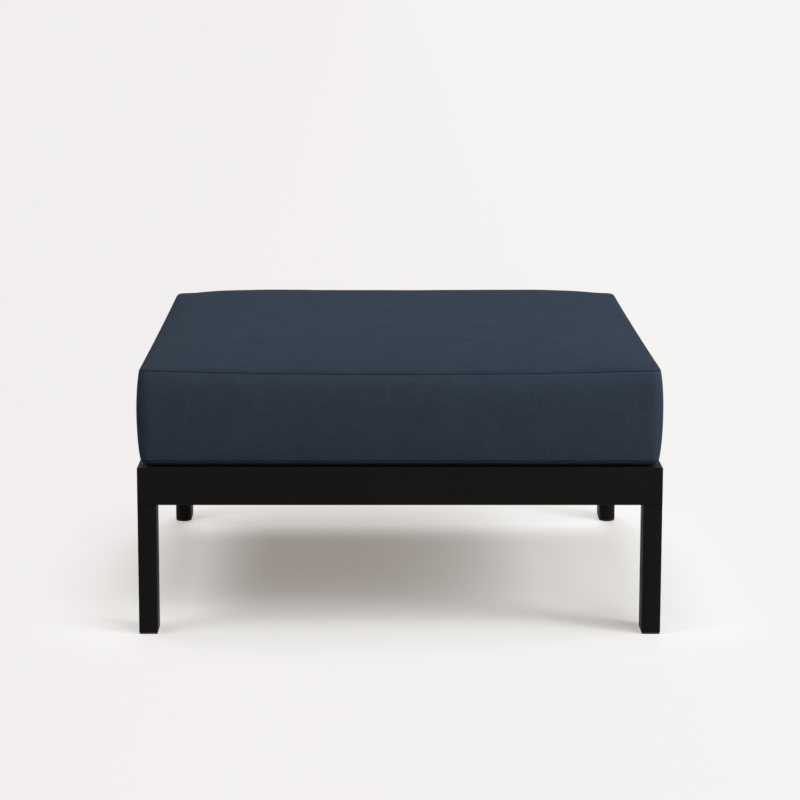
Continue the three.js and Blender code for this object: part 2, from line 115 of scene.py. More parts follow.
class OTTOMAN_PG_frame(bpy.types.PropertyGroup):
    """Sizes of the frame's weld beads"""

    weld: length("Weld", "Radius of a weld bead", 0.0026)
    weld_in: length("Weld in", "How far a bead's middle is out of its corner", 0.0006)
    ripple: length("Ripple", "From ripple to ripple of a bead", 0.0026)
    weld_clear: length("Weld clear", "How far a bead ends before an edge", 0.004)
    weld_start: turn("Weld start", "Where a bead round a leg begins and ends", 38)
    mitre: length("Mitre", "Width of the weld that closes a mitre between rails", 0.00028)


class OTTOMAN_PG_cushion(bpy.types.PropertyGroup):
    """Sizes of the cushion's sewn cover and its filling"""

    seam_half: length("Seam half width", "From the middle to the seam lines", TOP_HIGH.x)
    seam_low: length("Bottom seam", "Height of the bottom seam", 0.2847)
    seam_high: length("Top seam", "Height of the top seam at the corners", 0.430)
    seam_sag: length("Seam sag", "How far the front and rear top seams drop", 0.0058)
    side_sag: length("Side sag", "How far the top seams at the sides drop", 0.0022)
    crown: number("Crown", "How flat the top's middle is", 6.6)
    top: length("Top", "Highest point of the crown", TOP_HIGH.z)
    rest: length("Rest", "Height of the flat underside", UNDER_LOW.z)
    under_reach: length("Under reach", "How far in from the seam the underside rests", 0.013)
    bulge: length("Bulge", "How far the wall stands out half way up", 0.0057)
    bow: number("Bow", "How evenly the wall stands out between its seams", 2.5)
    roll: length("Roll", "How far the top stands up just inside its seam", 0.004)
    roll_reach: length("Roll reach", "How far in from the seam it does so", 0.003)
    corner: length("Corner radius", "Radius of the seam line in plan", 0.014)
    corner_swell: length("Corner swell", "What half way up adds to the radius", 0.010)
    cell: length("Cell", "Edge of one cell of the cover before subdivision", 0.0098)
    level_rows: share("Level rows", "Share of the wall below which its cells lie level", 0.57)
    start_under: length("Start under", "How far the blank starts inside the form", 0.002)
    travel: length("Travel", "Furthest that a point swells beyond the form", 0.0022)
    pressure: number("Pressure", "Filling pressure", 4)
    soft: length("Soft", "How softly the swell starts where the filling holds", 0.0006)
    seam_calm: length("Seam calm", "How near a seam the swell dies away", 0.005)
    seam_width: length("Seam width", "Half width of the seam's groove", 0.0007)
    seam_depth: length("Seam depth", "Depth of the seam's groove", 0.0024)
    hem: length("Hem", "Seam allowance turned inside", 0.007)
    hem_lean: length("Hem lean", "How far a hem leans in from the seam", 0.0002)
    fold: length("Fold", "How deep a strip's edge folds in beside the zip", 0.0013)
    fabric: length("Fabric", "Thickness of the cover", 0.0012)
    pucker: length("Pucker", "Depth of the puckers along the seams", 0.0004)
    dimple: length("Dimples", "Depth of the broad unevenness of the filling", 0.0009)
    # painted light: how far below the top seam the wall is painted lighter
    painted_light_reach: length("Bleach reach", "How far below the top seam it is bleached", 0.016)
    slack: length("Slack", "How far the filling lies inside its CAD solids", 0.0018)


class OTTOMAN_PG_zip(bpy.types.PropertyGroup):
    """Sizes of the zip"""

    height: length("Height", "Level of the zip's middle", (TAPE_LOW.z + LOWER_TAPE_HIGH.z) / 2)
    window: length("Window", "From the middle to the edge of a strip", 0.005)
    half: length("Half length", "From the middle to the end of the strips", 0.3835)
    pitch: length("Pitch", "From tooth to tooth", 0.00254)
    chain_half: length("Chain half length", "From the middle to the end of the teeth", 0.3805)
    tooth_far: length("Tooth far", "From the zip's middle to the back of a tooth", 0.0026)
    tooth_near: length("Tooth near", "From the zip's middle to a tooth's head", 0.0004)
    tooth_head: length("Tooth head", "Height of a tooth's head above its neck", 0.0008)
    tooth_half: length("Tooth half width", "Half of a tooth's width along the zip", 0.0008)
    tooth_depth: length("Tooth depth", "Thickness of the row of teeth", 0.0024)
    tape_far: length("Tape far", "From the zip's middle to the tape's far edge", 0.014)
    tape: length("Tape", "Thickness of the tape", 0.0008)
    cord_rise: length("Cord rise", "How far the tape's cord stands out", 0.00012)
    stitch: length("Stitch", "From stitch to stitch beside the zip", 0.0036)
    stitch_in: length("Stitch in", "From the window's edge to the stitches", 0.0032)
    stitch_share: share("Stitch share", "Share of the pitch that a stitch shows", 0.8)
    thread: length("Thread", "Radius of the sewing thread", 0.00036)


class OTTOMAN_PG_colours(bpy.types.PropertyGroup):
    """Colours of the finishes, and of the stage"""

    coat: colour("Powder coat", "Black coat of the frame", (0.0074, 0.0068, 0.0064))
    coat_worn: colour("Worn coat", "The coat along its edges", (0.0090, 0.0082, 0.0078))
    plastic: colour("Plastic", "Glides under the legs", (0.0085, 0.0082, 0.0080))
    fabric: colour("Fabric", "Navy yarn of the cover", (0.0140, 0.0215, 0.0325))
    fabric_light: colour("Light yarn", "Raised yarn of the cover", (0.0530, 0.0715, 0.0975))
    # painted light: the wall is painted lighter along its top seam, where it would catch more light
    painted_seam_light: share("PaintedSeamLight", "How much lighter the cover is along its top seam", 0.33)
    thread: colour("Thread", "Sewing thread", (0.0280, 0.0370, 0.0500))
    tape: colour("Tape", "Zip tape and coil", (0.0105, 0.0150, 0.0225))
    metal: colour("Metal", "Zip slider, pull and stops", (0.0600, 0.0630, 0.0680))
    foam: colour("Foam", "Foam core", (0.58, 0.60, 0.57))
    wadding: colour("Wadding", "Polyester wadding", (0.78, 0.78, 0.75))
    floor: colour("Floor", "Pale floor", (0.780, 0.800, 0.812))
    # painted light: an even glow on the floor that lightens its shadows
    floor_shadow_glow: colour("Floor lift", "Glow of the floor in its shadows", (0.310, 0.277, 0.251))
    backdrop_left: colour("Backdrop left", "Backdrop on the left", (0.880, 0.852, 0.850))
    backdrop_right: colour("Backdrop right", "Backdrop on the right", (0.922, 0.906, 0.888))


class OTTOMAN_PG_stage(bpy.types.PropertyGroup):
    """Where the camera and the lamps stand"""

    lens: FloatProperty(name="Lens", description="Focal length", default=116.1, unit="CAMERA")
    camera_x: length("Camera across", "Camera's place to the side", -0.0441)
    camera_y: length("Camera back", "Camera's place in front", -4.447)
    camera_z: length("Camera height", "Camera's height", 1.149)
    pitch: turn("Pitch", "Camera's tilt down", 9.42)
    shift_x: number("Shift X", "Camera's shift across", 0.0346)
    shift_y: number("Shift Y", "Camera's shift up", -0.075)
    world: number("World", "Strength of the world's light", 0.048)
    lamp_width: turn("Lamp width", "How wide each lamp looks from the stool", 25)
    lamp_far: length("Lamp distance", "From the stool to each lamp", 5.4)
    bounce: share("Bounce", "Share of the light that the floor throws back up", 0.58)
    fade_start: length("Fade start", "Where the floor begins to run into the backdrop", 0.4)
    fade_end: length("Fade end", "Where the floor is all backdrop", 0.66)
    backdrop_span: length("Backdrop span", "From the middle to the side tones", 0.8)


# Selecting and shaping


def deselect_all():
    bpy.ops.object.select_all(action="DESELECT")


def only(piece):
    deselect_all()
    piece.select_set(True)
    bpy.context.view_layer.objects.active = piece


def edit(piece):
    """Opens a piece in edit mode with nothing selected."""
    only(piece)
    bpy.ops.object.mode_set(mode="EDIT")
    bpy.ops.mesh.select_all(action="DESELECT")


def leave():
    bpy.ops.object.mode_set(mode="OBJECT")


def select_mesh():
    bpy.ops.mesh.select_all(action="SELECT")


def choose(piece, kind, test):
    """Selects the faces, edges or verts in edit mode that pass a test."""
    mesh = bmesh.from_edit_mesh(piece.data)
    bpy.ops.mesh.select_all(action="DESELECT")
    bpy.context.tool_settings.mesh_select_mode = (kind == "verts", kind == "edges", kind == "faces")
    for element in getattr(mesh, kind):
        element.select_set(bool(test(element)))
    mesh.select_flush_mode()
    bmesh.update_edit_mesh(piece.data)


def cut_across(place, normal):
    """Cuts the whole of the mesh in edit mode along a plane, and keeps both sides."""
    select_mesh()
    bpy.ops.mesh.bisect(plane_co=place, plane_no=normal)


def settle(piece, name):
    """Names a piece and puts its place in its mesh."""
    piece.name = name
    piece.data.name = name
    only(piece)
    bpy.ops.object.transform_apply(location=True, rotation=True, scale=True)
    return piece


def finish_modifier(piece, name, kind, **settings):
    only(piece)
    modifier = piece.modifiers.new(name, kind)
    for key, value in settings.items():
        setattr(modifier, key, value)
    bpy.ops.object.modifier_apply(modifier=modifier.name)


def break_edges(piece, width, segments=2, degrees=30):
    finish_modifier(
        piece, "Broken edges", "BEVEL", width=width, segments=segments, limit_method="ANGLE",
        angle_limit=math.radians(degrees), use_clamp_overlap=True,
    )


def repeat(piece, count, step):
    """Makes a row of what has been modelled once."""
    finish_modifier(
        piece, "Row", "ARRAY", count=count, use_relative_offset=False,
        use_constant_offset=True, constant_offset_displace=step,
    )


def points_of(piece):
    points = np.empty(len(piece.data.vertices) * 3)
    piece.data.vertices.foreach_get("co", points)
    return points.reshape(-1, 3)


def move_points(piece, points):
    piece.data.vertices.foreach_set("co", np.ascontiguousarray(points, float).ravel())
    piece.data.update()


def normals_of(piece):
    return np.array([vertex.normal[:] for vertex in piece.data.vertices])


def slab(name, low, high):
    """A block between two corners, as a start for a piece, open in edit mode."""
    low, high = Vector(low), Vector(high)
    deselect_all()
    bpy.ops.mesh.primitive_cube_add(size=1, location=(low + high) / 2)
    piece = bpy.context.object
    piece.scale = high - low
    settle(piece, name)
    edit(piece)
    return piece


def rod(name, centre, direction, span, radius, sides):
    """A round rod along a direction, as a start for a piece, open in edit mode."""
    deselect_all()
    bpy.ops.mesh.primitive_cylinder_add(
        vertices=sides, radius=radius, depth=span, location=centre,
        rotation=direction.to_track_quat("Z", "Y").to_euler(),
    )
    piece = settle(bpy.context.object, name)
    edit(piece)
    return piece


def copy_of(node_name, name):
    """A merged copy of a CAD node's mesh, as a start for the piece that replaces it."""
    piece = bpy.data.objects.new(name, frame["nodes"][node_name].data.copy())
    bpy.context.scene.collection.objects.link(piece)
    piece.data.name = name
    only(piece)
    if piece.data.has_custom_normals:
        bpy.ops.mesh.customdata_custom_splitnormals_clear()
    edit(piece)
    select_mesh()
    bpy.ops.mesh.remove_doubles(threshold=0.00001)
    bpy.ops.mesh.tris_convert_to_quads(face_threshold=0.02, shape_threshold=1)
    leave()
    return piece


def smooth_by_angle(piece, degrees):
    only(piece)
    bpy.ops.object.shade_smooth_by_angle(angle=math.radians(degrees))


def dress(piece, material, body, slot, *nodes):
    """Gives a piece its material and body, and hides the CAD nodes that it stands for; slot is not
    used.
    """
    piece.data.materials.clear()
    piece.data.materials.append(material)
    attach(piece, body)
    if nodes:
        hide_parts(*nodes)


# Node trees


def fill_in(tree, made, inputs):
    """Sets a node's inputs to values, or joins other nodes' sockets to them."""
    for key, value in inputs.items():
        if isinstance(value, bpy.types.NodeSocket):
            tree.links.new(value, made.inputs[key])
        elif value is not None:
            made.inputs[key].default_value = value


def node(tree, kind, inputs=(), **settings):
    """Adds a shader node, with its settings and its inputs."""
    made = tree.nodes.new("ShaderNode" + kind)
    for key, value in settings.items():
        setattr(made, key, value)
    fill_in(tree, made, dict(inputs))
    return made


def new_material(name):
    material = bpy.data.materials.new(name)
    material.use_nodes = True
    return material, material.node_tree


def surfaced(material, inputs):
    tree = material.node_tree
    fill_in(tree, tree.nodes["Principled BSDF"], inputs)
    return material


def calc(tree, operation, first, second=None, third=None):
    values = {0: first, 1: second, 2: third}
    return node(tree, "Math", values, operation=operation).outputs[0]


def times(tree, first, second):
    return calc(tree, "MULTIPLY", first, second)


def vector_calc(tree, operation, inputs, output=0):
    return node(tree, "VectorMath", inputs, operation=operation).outputs[output]


def object_place(tree):
    return node(tree, "TexCoord").outputs["Object"]


def separated(tree, place):
    return node(tree, "SeparateXYZ", {0: place}).outputs


def cloudy(tree, place, scale, detail=2, roughness=0.5, distortion=0.0):
    """Noise from about 0 to 1; scale is in features to a metre."""
    return node(tree, "TexNoise", {
        "Vector": place, "Scale": scale, "Detail": detail, "Roughness": roughness,
        "Distortion": distortion,
    }).outputs[0]


def spread(tree, value, low, high, to_low=0.0, to_high=1.0):
    inputs = {"Value": value, 1: low, 2: high, 3: to_low, 4: to_high}
    return node(tree, "MapRange", inputs).outputs[0]


def shade(tone, factor):
    return [channel * factor for channel in tone]


def tint(tree, factor, first, second):
    """A colour between two others, of which the first may be a socket."""
    first = first if isinstance(first, bpy.types.NodeSocket) else (*first, 1)
    ends = {0: factor, 6: first, 7: (*second, 1)}
    return node(tree, "Mix", ends, data_type="RGBA").outputs[2]


def bumped(tree, height, strength, distance, normal=None):
    return node(tree, "Bump", {
        "Height": height, "Strength": strength, "Distance": distance, "Normal": normal,
    }).outputs[0]


def sharp_edges(tree, radius, low, high):
    """From 0 on flat places to 1 on edges, where a rounded surface would turn away."""
    rounded = node(tree, "Bevel", {"Radius": radius}, samples=4).outputs[0]
    flat = node(tree, "NewGeometry").outputs["Normal"]
    facing = vector_calc(tree, "DOT_PRODUCT", {0: rounded, 1: flat}, "Value")
    return spread(tree, facing, low, high)


def wave(tree, value, pitch):
    return calc(tree, "SINE", times(tree, value, 2 * math.pi / pitch))


def weighed(tree, *pairs):
    """The sum of values, each times its weight."""
    total = 0.0
    for value, weight in pairs:
        total = calc(tree, "MULTIPLY_ADD", value, weight, total)
    return total


# Finishes


def coat_material(look):
    """Fine-textured black powder coat, a little polished along its edges."""
    material, tree = new_material("black_powder_coat")
    place = object_place(tree)
    grain, peel = cloudy(tree, place, 1400), cloudy(tree, place, 260, 1)
    patches = cloudy(tree, place, 9, 3)
    edges = sharp_edges(tree, 0.0012, 0.995, 0.9)
    wear = times(tree, edges, spread(tree, patches, 0.4, 0.7))
    base = tint(tree, spread(tree, patches, 0.3, 0.7), look.coat, shade(look.coat, 1.16))
    fine = spread(tree, grain, 0.3, 0.7, 0.46, 0.56)
    return surfaced(material, {
        "Base Color": tint(tree, wear, base, look.coat_worn),
        "Roughness": calc(tree, "ADD", fine, spread(tree, peel, 0.3, 0.7, -0.03, 0.03)),
        "Specular IOR Level": 0.05,
        "Normal": bumped(tree, peel, 0.25, 0.0002, bumped(tree, grain, 0.35, 0.00012)),
    })


def plastic_material(look):
    """Moulded plastic with a fine grain and scuffs."""
    material, tree = new_material("moulded_black_plastic")
    place = object_place(tree)
    grain = cloudy(tree, place, 1800)
    scuffs = spread(tree, cloudy(tree, place, 140, 4), 0.45, 0.75)
    return surfaced(material, {
        "Base Color": tint(tree, scuffs, look.plastic, shade(look.plastic, 2.2)),
        "Roughness": spread(tree, grain, 0.3, 0.7, 0.5, 0.66),
        "Specular IOR Level": 0.3,
        "Normal": bumped(tree, grain, 0.4, 0.0001),
    })


WEAVE_MAP = "Weave"
# map of painted light: how much lighter the wall is painted near its top seam
PAINTED_LIGHT_MAP = "Wear"
MAP_SPAN = 4.0  # metres of cloth to one unit of the map
CHECK = 0.004  # repeat of the weave: two yarns over and two under
YARN = CHECK / 4
SLUB_LONG, SLUB_THIN = 22, 620  # thick places in a yarn, to a metre along and across it


def fabric_material(look):
    """Solution-dyed navy panama: blocks of two yarns over and under, flecks and slubs."""
    material, tree = new_material("navy_woven_fabric")
    mapped = node(tree, "UVMap", uv_map=WEAVE_MAP).outputs[0]
    cloth = vector_calc(tree, "SCALE", {0: mapped, "Scale": MAP_SPAN})
    along, up = separated(tree, cloth)[:2]
    slubs = []
    for scales in ((SLUB_LONG, SLUB_THIN), (SLUB_THIN, SLUB_LONG)):
        drawn_out = {0: times(tree, along, scales[0]), 1: times(tree, up, scales[1])}
        slubs.append(cloudy(tree, node(tree, "CombineXYZ", drawn_out).outputs[0], 1.0))
    even = times(tree, wave(tree, along, CHECK), wave(tree, up, CHECK))
    strength = spread(tree, cloudy(tree, cloth, 70), 0.35, 0.65, 0.35, 1.45)
    checks = times(tree, even, strength)
    yarns = node(tree, "Mix", {
        0: spread(tree, even, -0.25, 0.25), 2: wave(tree, up, YARN), 3: wave(tree, along, YARN),
    }).outputs[0]
    flecks, clouds = cloudy(tree, cloth, 520), cloudy(tree, cloth, 16, 4, 0.6)
    tone = weighed(
        tree, (checks, 0.46), (yarns, 0.05), (flecks, 0.45), (slubs[0], 0.3), (slubs[1], 0.3)
    )
    raised = spread(tree, tone, 0.025, 1.025)
    # painted light: the wall is painted lighter along its top seam; the clouds are the cloth's own
    # mottle
    edges = node(tree, "Attribute", attribute_name=PAINTED_LIGHT_MAP).outputs["Fac"]
    painted_lighter = calc(tree, "MULTIPLY_ADD", edges, look.painted_seam_light, 1.0)
    mottle_and_painted_light = times(tree, spread(tree, clouds, 0.3, 0.7, 0.94, 1.07), painted_lighter)
    base = tint(tree, raised, look.fabric, look.fabric_light)
    height = weighed(tree, (checks, 0.45), (yarns, 0.2), (slubs[0], 0.5), (slubs[1], 0.5))
    return surfaced(material, {
        "Base Color": vector_calc(tree, "SCALE", {0: base, "Scale": mottle_and_painted_light}),
        "Roughness": spread(tree, raised, 0.0, 1.0, 0.98, 0.86),
        "Specular IOR Level": 0.003,
        "Sheen Weight": 0.02,
        "Sheen Roughness": 0.5,
        "Sheen Tint": (0.55, 0.68, 0.85, 1),
        "Normal": bumped(tree, height, 0.55, 0.00022),
    })


def thread_material(look):
    """Twisted sewing thread."""
    material, tree = new_material("sewing_thread")
    inputs = {"Vector": object_place(tree), "Scale": 700.0, "Distortion": 1.5}
    twist = node(tree, "TexWave", inputs, bands_direction="DIAGONAL").outputs[1]
    return surfaced(material, {
        "Base Color": tint(tree, twist, look.thread, shade(look.thread, 1.6)),
        "Roughness": 0.55,
        "Specular IOR Level": 0.3,
        "Normal": bumped(tree, twist, 0.6, 0.0001),
    })


def tape_material(look):
    """Herringbone tape of the zip."""
    material, tree = new_material("zip_herringbone_tape")
    place = object_place(tree)
    across, _, up = separated(tree, place)[:3]
    ribs = wave(tree, calc(tree, "ADD", across, calc(tree, "PINGPONG", up, 0.0011)), 0.0009)
    lift = times(tree, calc(tree, "ADD", ribs, 1.0), 0.5)
    fleck = times(tree, lift, cloudy(tree, place, 900))
    return surfaced(material, {
        "Base Color": tint(tree, fleck, look.tape, shade(look.tape, 1.8)),
        "Roughness": 0.85,
        "Specular IOR Level": 0.2,
        "Sheen Weight": 0.1,
        "Normal": bumped(tree, lift, 0.6, 0.0002),
    })


def teeth_material(look):
    """Moulded nylon teeth of the zip."""
    material, tree = new_material("zip_nylon_teeth")
    place = object_place(tree)
    ridges = wave(tree, separated(tree, place)[2], 0.0005)
    tone = spread(tree, cloudy(tree, place, 60), 0.3, 0.7)
    return surfaced(material, {
        "Base Color": tint(tree, tone, look.tape, shade(look.tape, 1.5)),
        "Roughness": spread(tree, tone, 0, 1, 0.32, 0.42),
        "Normal": bumped(tree, ridges, 0.2, 0.0001),
    })


def metal_material(look):
    """Cast zinc under dark enamel, rubbed brighter on its edges."""
    material, tree = new_material("zip_dark_metal")
    rub = cloudy(tree, object_place(tree), 500, 4, 0.6)
    edge = times(tree, sharp_edges(tree, 0.0003, 0.99, 0.85), rub)
    return surfaced(material, {
        "Base Color": tint(tree, edge, look.metal, shade(look.metal, 3.2)),
        "Metallic": 0.85,
        "Roughness": spread(tree, rub, 0.3, 0.7, 0.34, 0.5),
        "Normal": bumped(tree, rub, 0.15, 0.0001),
    })


def foam_material(look):
    """Open-celled foam: fine cells over a few larger pores."""
    material, tree = new_material("open_cell_foam")
    place = object_place(tree)
    cells, pores = (
        node(tree, "TexVoronoi", {"Vector": place, "Scale": scale}).outputs[0]
        for scale in (520.0, 110.0)
    )
    depth = times(tree, cells, spread(tree, pores, 0.05, 0.3, 0.4, 1.0))
    return surfaced(material, {
        # painted shade: the cells' hollows are coloured darker
        "Base Color": tint(tree, depth, shade(look.foam, 0.72), look.foam),
        "Roughness": 1.0,
        "Specular IOR Level": 0.1,
        "Normal": bumped(tree, depth, 0.7, 0.0006),
    })


def wadding_material(look):
    """Lofted polyester fibre."""
    material, tree = new_material("polyester_wadding")
    place = object_place(tree)
    inputs = {"Vector": place, "Scale": 160.0, "Distortion": 14.0, "Detail": 4.0}
    fibres = node(tree, "TexWave", inputs).outputs[1]
    fluff = times(tree, cloudy(tree, place, 45.0, 6.0, distortion=3.0), fibres)
    tone = spread(tree, fluff, 0.1, 0.6)
    return surfaced(material, {
        "Base Color": tint(tree, tone, shade(look.wadding, 0.84), look.wadding),
        "Roughness": 1.0,
        "Sheen Weight": 0.4,
        "Normal": bumped(tree, fluff, 0.8, 0.001),
    })


# The frame

LEGS = ("front_left_leg", "front_right_leg", "rear_left_leg", "rear_right_leg")
GLIDES = tuple(leg.replace("_leg", "_glide") for leg in LEGS)
RAILS = ("front_rail", "right_rail", "rear_rail", "left_rail")
SLATS = tuple(sorted(n for n in frame["nodes"] if n.startswith("seat_slat_")))
STOPS = tuple(sorted(n for n in frame["nodes"] if n.startswith("zip_stop_")))
BEAD_SIDES = 10
VALLEY, TIP = 0.84, 0.45  # a bead's size between ripples and at its ends, to its radius


def paint_nodes(names, material):
    for name in names:
        for slot in frame["nodes"][name].material_slots:
            slot.material = material


def round_leg(leg, material):
    """The leg with its half-round side shaded as one round face."""
    piece = copy_of(leg, leg + "_extrusion")
    smooth_by_angle(piece, 30)
    dress(piece, material, "frame", "frame_coat", leg)


def finish_bead(piece, on_path, steps, material):
    """Gives a round bead the ripples of a weld, and thins it out towards its ends. on_path
    takes a point to its share of the way and to the middle of the bead there."""
    points = points_of(piece)
    for i, point in enumerate(points):
        along, core = on_path(Vector(point))
        ripple = 1.0 if round(along * steps) % 2 else VALLEY
        size = ripple * (TIP + (1 - TIP) * math.sin(math.pi * along) ** 0.3)
        points[i] = core + (Vector(point) - core) * size
    move_points(piece, points)
    smooth_by_angle(piece, 80)
    dress(piece, material, "frame", "frame_coat")


def straight_weld(s, name, start, end, material):
    """A bead between two places, laid in the corner where two tubes meet."""
    start, end = Vector(start), Vector(end)
    span = end - start
    steps = round(span.length / s.ripple * 2)
    piece = rod(name, (start + end) / 2, span, span.length, s.weld, BEAD_SIDES)
    for step in range(1, steps):
        cut_across(start.lerp(end, step / steps), span)
    leave()

    def on_path(point):
        along = min(max((point - start).dot(span) / span.length_squared, 0), 1)
        return along, start.lerp(end, along)

    finish_bead(piece, on_path, steps, material)


def round_weld(s, name, centre, radius, start, sweep, material):
    """A bead round a quarter or so of a round side: a disc spun about an upright axis."""
    centre = Vector(centre)
    steps = round(sweep * radius / s.ripple * 2)

    def arm(angle):
        return Vector((math.cos(angle), math.sin(angle), 0)) * radius

    deselect_all()
    bpy.ops.mesh.primitive_circle_add(
        vertices=BEAD_SIDES, radius=s.weld, fill_type="NGON", location=centre + arm(start),
        rotation=(math.pi / 2, 0, start),
    )
    piece = settle(bpy.context.object, name)
    edit(piece)
    select_mesh()
    # with no window, spin turns the other way
    bpy.ops.mesh.spin(steps=steps, angle=-sweep, center=centre, axis=(0, 0, 1))
    select_mesh()
    bpy.ops.mesh.remove_doubles(threshold=TINY)
    bpy.ops.mesh.normals_make_consistent(inside=False)
    leave()

    def on_path(point):
        angle = (math.atan2(point.y - centre.y, point.x - centre.x) - start) % (2 * math.pi)
        along = min(angle / sweep, 1) if angle < math.pi * 1.5 else 0
        return along, centre + arm(start + along * sweep)

    finish_bead(piece, on_path, steps, material)


def mitre_weld(s, rail, side, name, material):
    """The weld ground flush in a mitre: the end face of a rail, as thick as the gap."""
    piece = copy_of(rail, name)
    inward = 1 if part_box(rail)[0].y < 0 else -1
    facing = Vector((side, inward, 0)).normalized()
    edit(piece)
    choose(piece, "faces", lambda face: face.normal.dot(facing) < 0.99)
    bpy.ops.mesh.delete(type="FACE")
    leave()
    finish_modifier(piece, "Weld", "SOLIDIFY", thickness=s.mitre, offset=1)
    dress(piece, material, "frame", "frame_coat")


def add_welds(s, material):
    """Welds in the mitres, and beads under the side rails round the legs, in the rails'
    inner corners and under the ends of the slats. The outer joints are ground flush, as
    the photograph shows them."""
    for rail in ("front", "rear"):
        for side, sign in (("left", -1), ("right", 1)):
            mitre_weld(s, rail + "_rail", sign, f"weld_{rail}_{side}_mitre", material)
    inner_x, inner_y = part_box("left_rail")[1].x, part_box("front_rail")[1].y
    for leg in LEGS:
        low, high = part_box(leg)
        across, half, front = (low.x + high.x) / 2, (high.x - low.x) / 2, low.y < 0
        round_side = (across, high.y - half if front else low.y + half, RAIL_LOW.z - s.weld_in)
        round_weld(
            s, "weld_" + leg, round_side, half + s.weld_in,
            s.weld_start + (0 if front else math.pi), math.pi - 2 * s.weld_start, material,
        )
        x = math.copysign(abs(inner_x) - s.weld_in, across)
        y = math.copysign(abs(inner_y) - s.weld_in, low.y)
        bottom, top = RAIL_LOW.z + s.weld_clear, RAIL_HIGH.z - 3 * s.weld_clear
        name = f"weld_{leg.replace('_leg', '')}_corner"
        straight_weld(s, name, (x, y, bottom), (x, y, top), material)
    for slat in SLATS:
        low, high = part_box(slat)
        front, back, z = low.y + 2 * s.weld_clear, high.y - 2 * s.weld_clear, low.z - s.weld_in
        for side, x in (("left", inner_x + s.weld_in), ("right", -inner_x - s.weld_in)):
            straight_weld(s, f"weld_{slat}_{side}", (x, front, z), (x, back, z), material)


class OTTOMAN_OT_frame(bpy.types.Operator):
    """Finishes the rails, legs, slats and glides, and lays the weld beads"""

    bl_idname = "ottoman.frame"
    bl_label = "Frame"

    def execute(self, context):
        look = context.scene.ottoman_colours
        coat = coat_material(look)
        paint_nodes(RAILS + SLATS, coat)
        paint_nodes(GLIDES, plastic_material(look))
        for leg in LEGS:
            round_leg(leg, coat)
        add_welds(context.scene.ottoman_frame, coat)
        return {"FINISHED"}


# The cushion's cover

NEAR_SEAM = (0.0, 0.0018, 0.004, 0.007, 0.011, 0.0165, 0.0245)  # the cells' edges there
FLAT_BESIDE, FLAT_BEYOND = 0.022, 0.02  # the flat band above and below the zip, and past it
PUCKER_STEP, PUCKER_GROUP = 0.011, 0.07  # metres to one change of the puckers' noise
PUCKER_REACH, PUCKER_START = 0.012, 0.002  # where puckers fade, and begin, from a seam
DIMPLE_START = 0.03  # how far from a seam the filling's unevenness is full
WALL_TALL, TOP_ABOVE = 0.12, 0.38  # what tells the panels apart: height, and lowest point
AT_SEAM, AT_WINDOW, WINDOW_PULL = 0.02, 0.0004, 0.0003  # how near an edge is, and its pull
SWELL_FRAMES = 20
CLOTH = {
    "quality": 4, "mass": 0.4, "tension_stiffness": 30, "compression_stiffness": 30,
    "shear_stiffness": 15, "bending_stiffness": 4, "use_pressure": True,
    "vertex_group_mass": "held",
}


def ticks(span, cell):
    """Places from 0 to span, closer together towards both ends."""
    last = NEAR_SEAM[-1]
    inner = np.linspace(last, span - last, max(1, round((span - 2 * last) / cell)) + 1)
    return np.concatenate([NEAR_SEAM[:-1], inner, span - np.array(NEAR_SEAM[-2::-1])])


def cover_blank(s):
    """A closed box of even cells: two grids bridged by rows of cells. Its faces' material
    numbers say which panel they are: 0 top, 1 boxing, 2 bottom."""
    across = ticks(2 * s.seam_half, s.cell)
    rows = ticks(s.seam_high - s.seam_low, s.cell)
    cells = len(across) - 1
    deselect_all()
    bpy.ops.mesh.primitive_grid_add(
        x_subdivisions=cells, y_subdivisions=cells, size=2, location=(0, 0, 1)
    )
    blank = settle(bpy.context.object, "cushion_blank")
    edit(blank)
    select_mesh()
    bpy.ops.mesh.duplicate_move(TRANSFORM_OT_translate={"value": (0, 0, -1)})
    bpy.ops.mesh.flip_normals()
    choose(blank, "edges", lambda edge: edge.is_boundary)
    bpy.ops.mesh.bridge_edge_loops(
        number_cuts=len(rows) - 2, interpolation="LINEAR", smoothness=0
    )
    select_mesh()
    bpy.ops.mesh.normals_make_consistent(inside=False)
    leave()
    for panel in range(3):
        blank.data.materials.append(bpy.data.materials.new(f"panel_{panel}"))
    for face in blank.data.polygons:
        upright = abs(face.normal.z) < 0.5
        face.material_index = 1 if upright else (0 if face.center.z > 0.5 else 2)
    return blank, across - s.seam_half, rows / rows[-1]


def shares_out(s, x, y):
    """How far out to the seams a place is, from 0 in the middle to 1, each way."""
    return np.minimum(np.abs(x) / s.seam_half, 1), np.minimum(np.abs(y) / s.seam_half, 1)


def top_seam_height(s, x, y):
    u, v = shares_out(s, x, y)
    sag = s.seam_sag + (s.side_sag - s.seam_sag) * u**8
    return s.seam_high - sag * (1 - (u * v) ** 2)


def in_from_seam(s, x, y):
    """How far a place in plan is in from the rounded seam line."""
    over_x = np.abs(x) - (s.seam_half - s.corner)
    over_y = np.abs(y) - (s.seam_half - s.corner)
    beyond = np.hypot(np.maximum(over_x, 0), np.maximum(over_y, 0))
    return np.maximum(s.corner - beyond - np.minimum(np.maximum(over_x, over_y), 0), 0)


def top_height(s, x, y):
    """Height of the filled top over a place in plan."""
    u, v = shares_out(s, x, y)
    roll = s.roll * (1 - np.exp(-in_from_seam(s, x, y) / s.roll_reach))
    crown = s.top - s.seam_high + s.seam_sag - s.roll
    full = (1 - u**s.crown) * (1 - v**s.crown)
    return top_seam_height(s, x, y) + roll + crown * full


def under_height(s, x, y):
    """Height of the underside, which rolls in from its seam and rests flat."""
    rolled = np.minimum(in_from_seam(s, x, y) / s.under_reach, 1)
    return s.seam_low - (s.seam_low - s.rest) * np.sin(rolled * math.pi / 2)


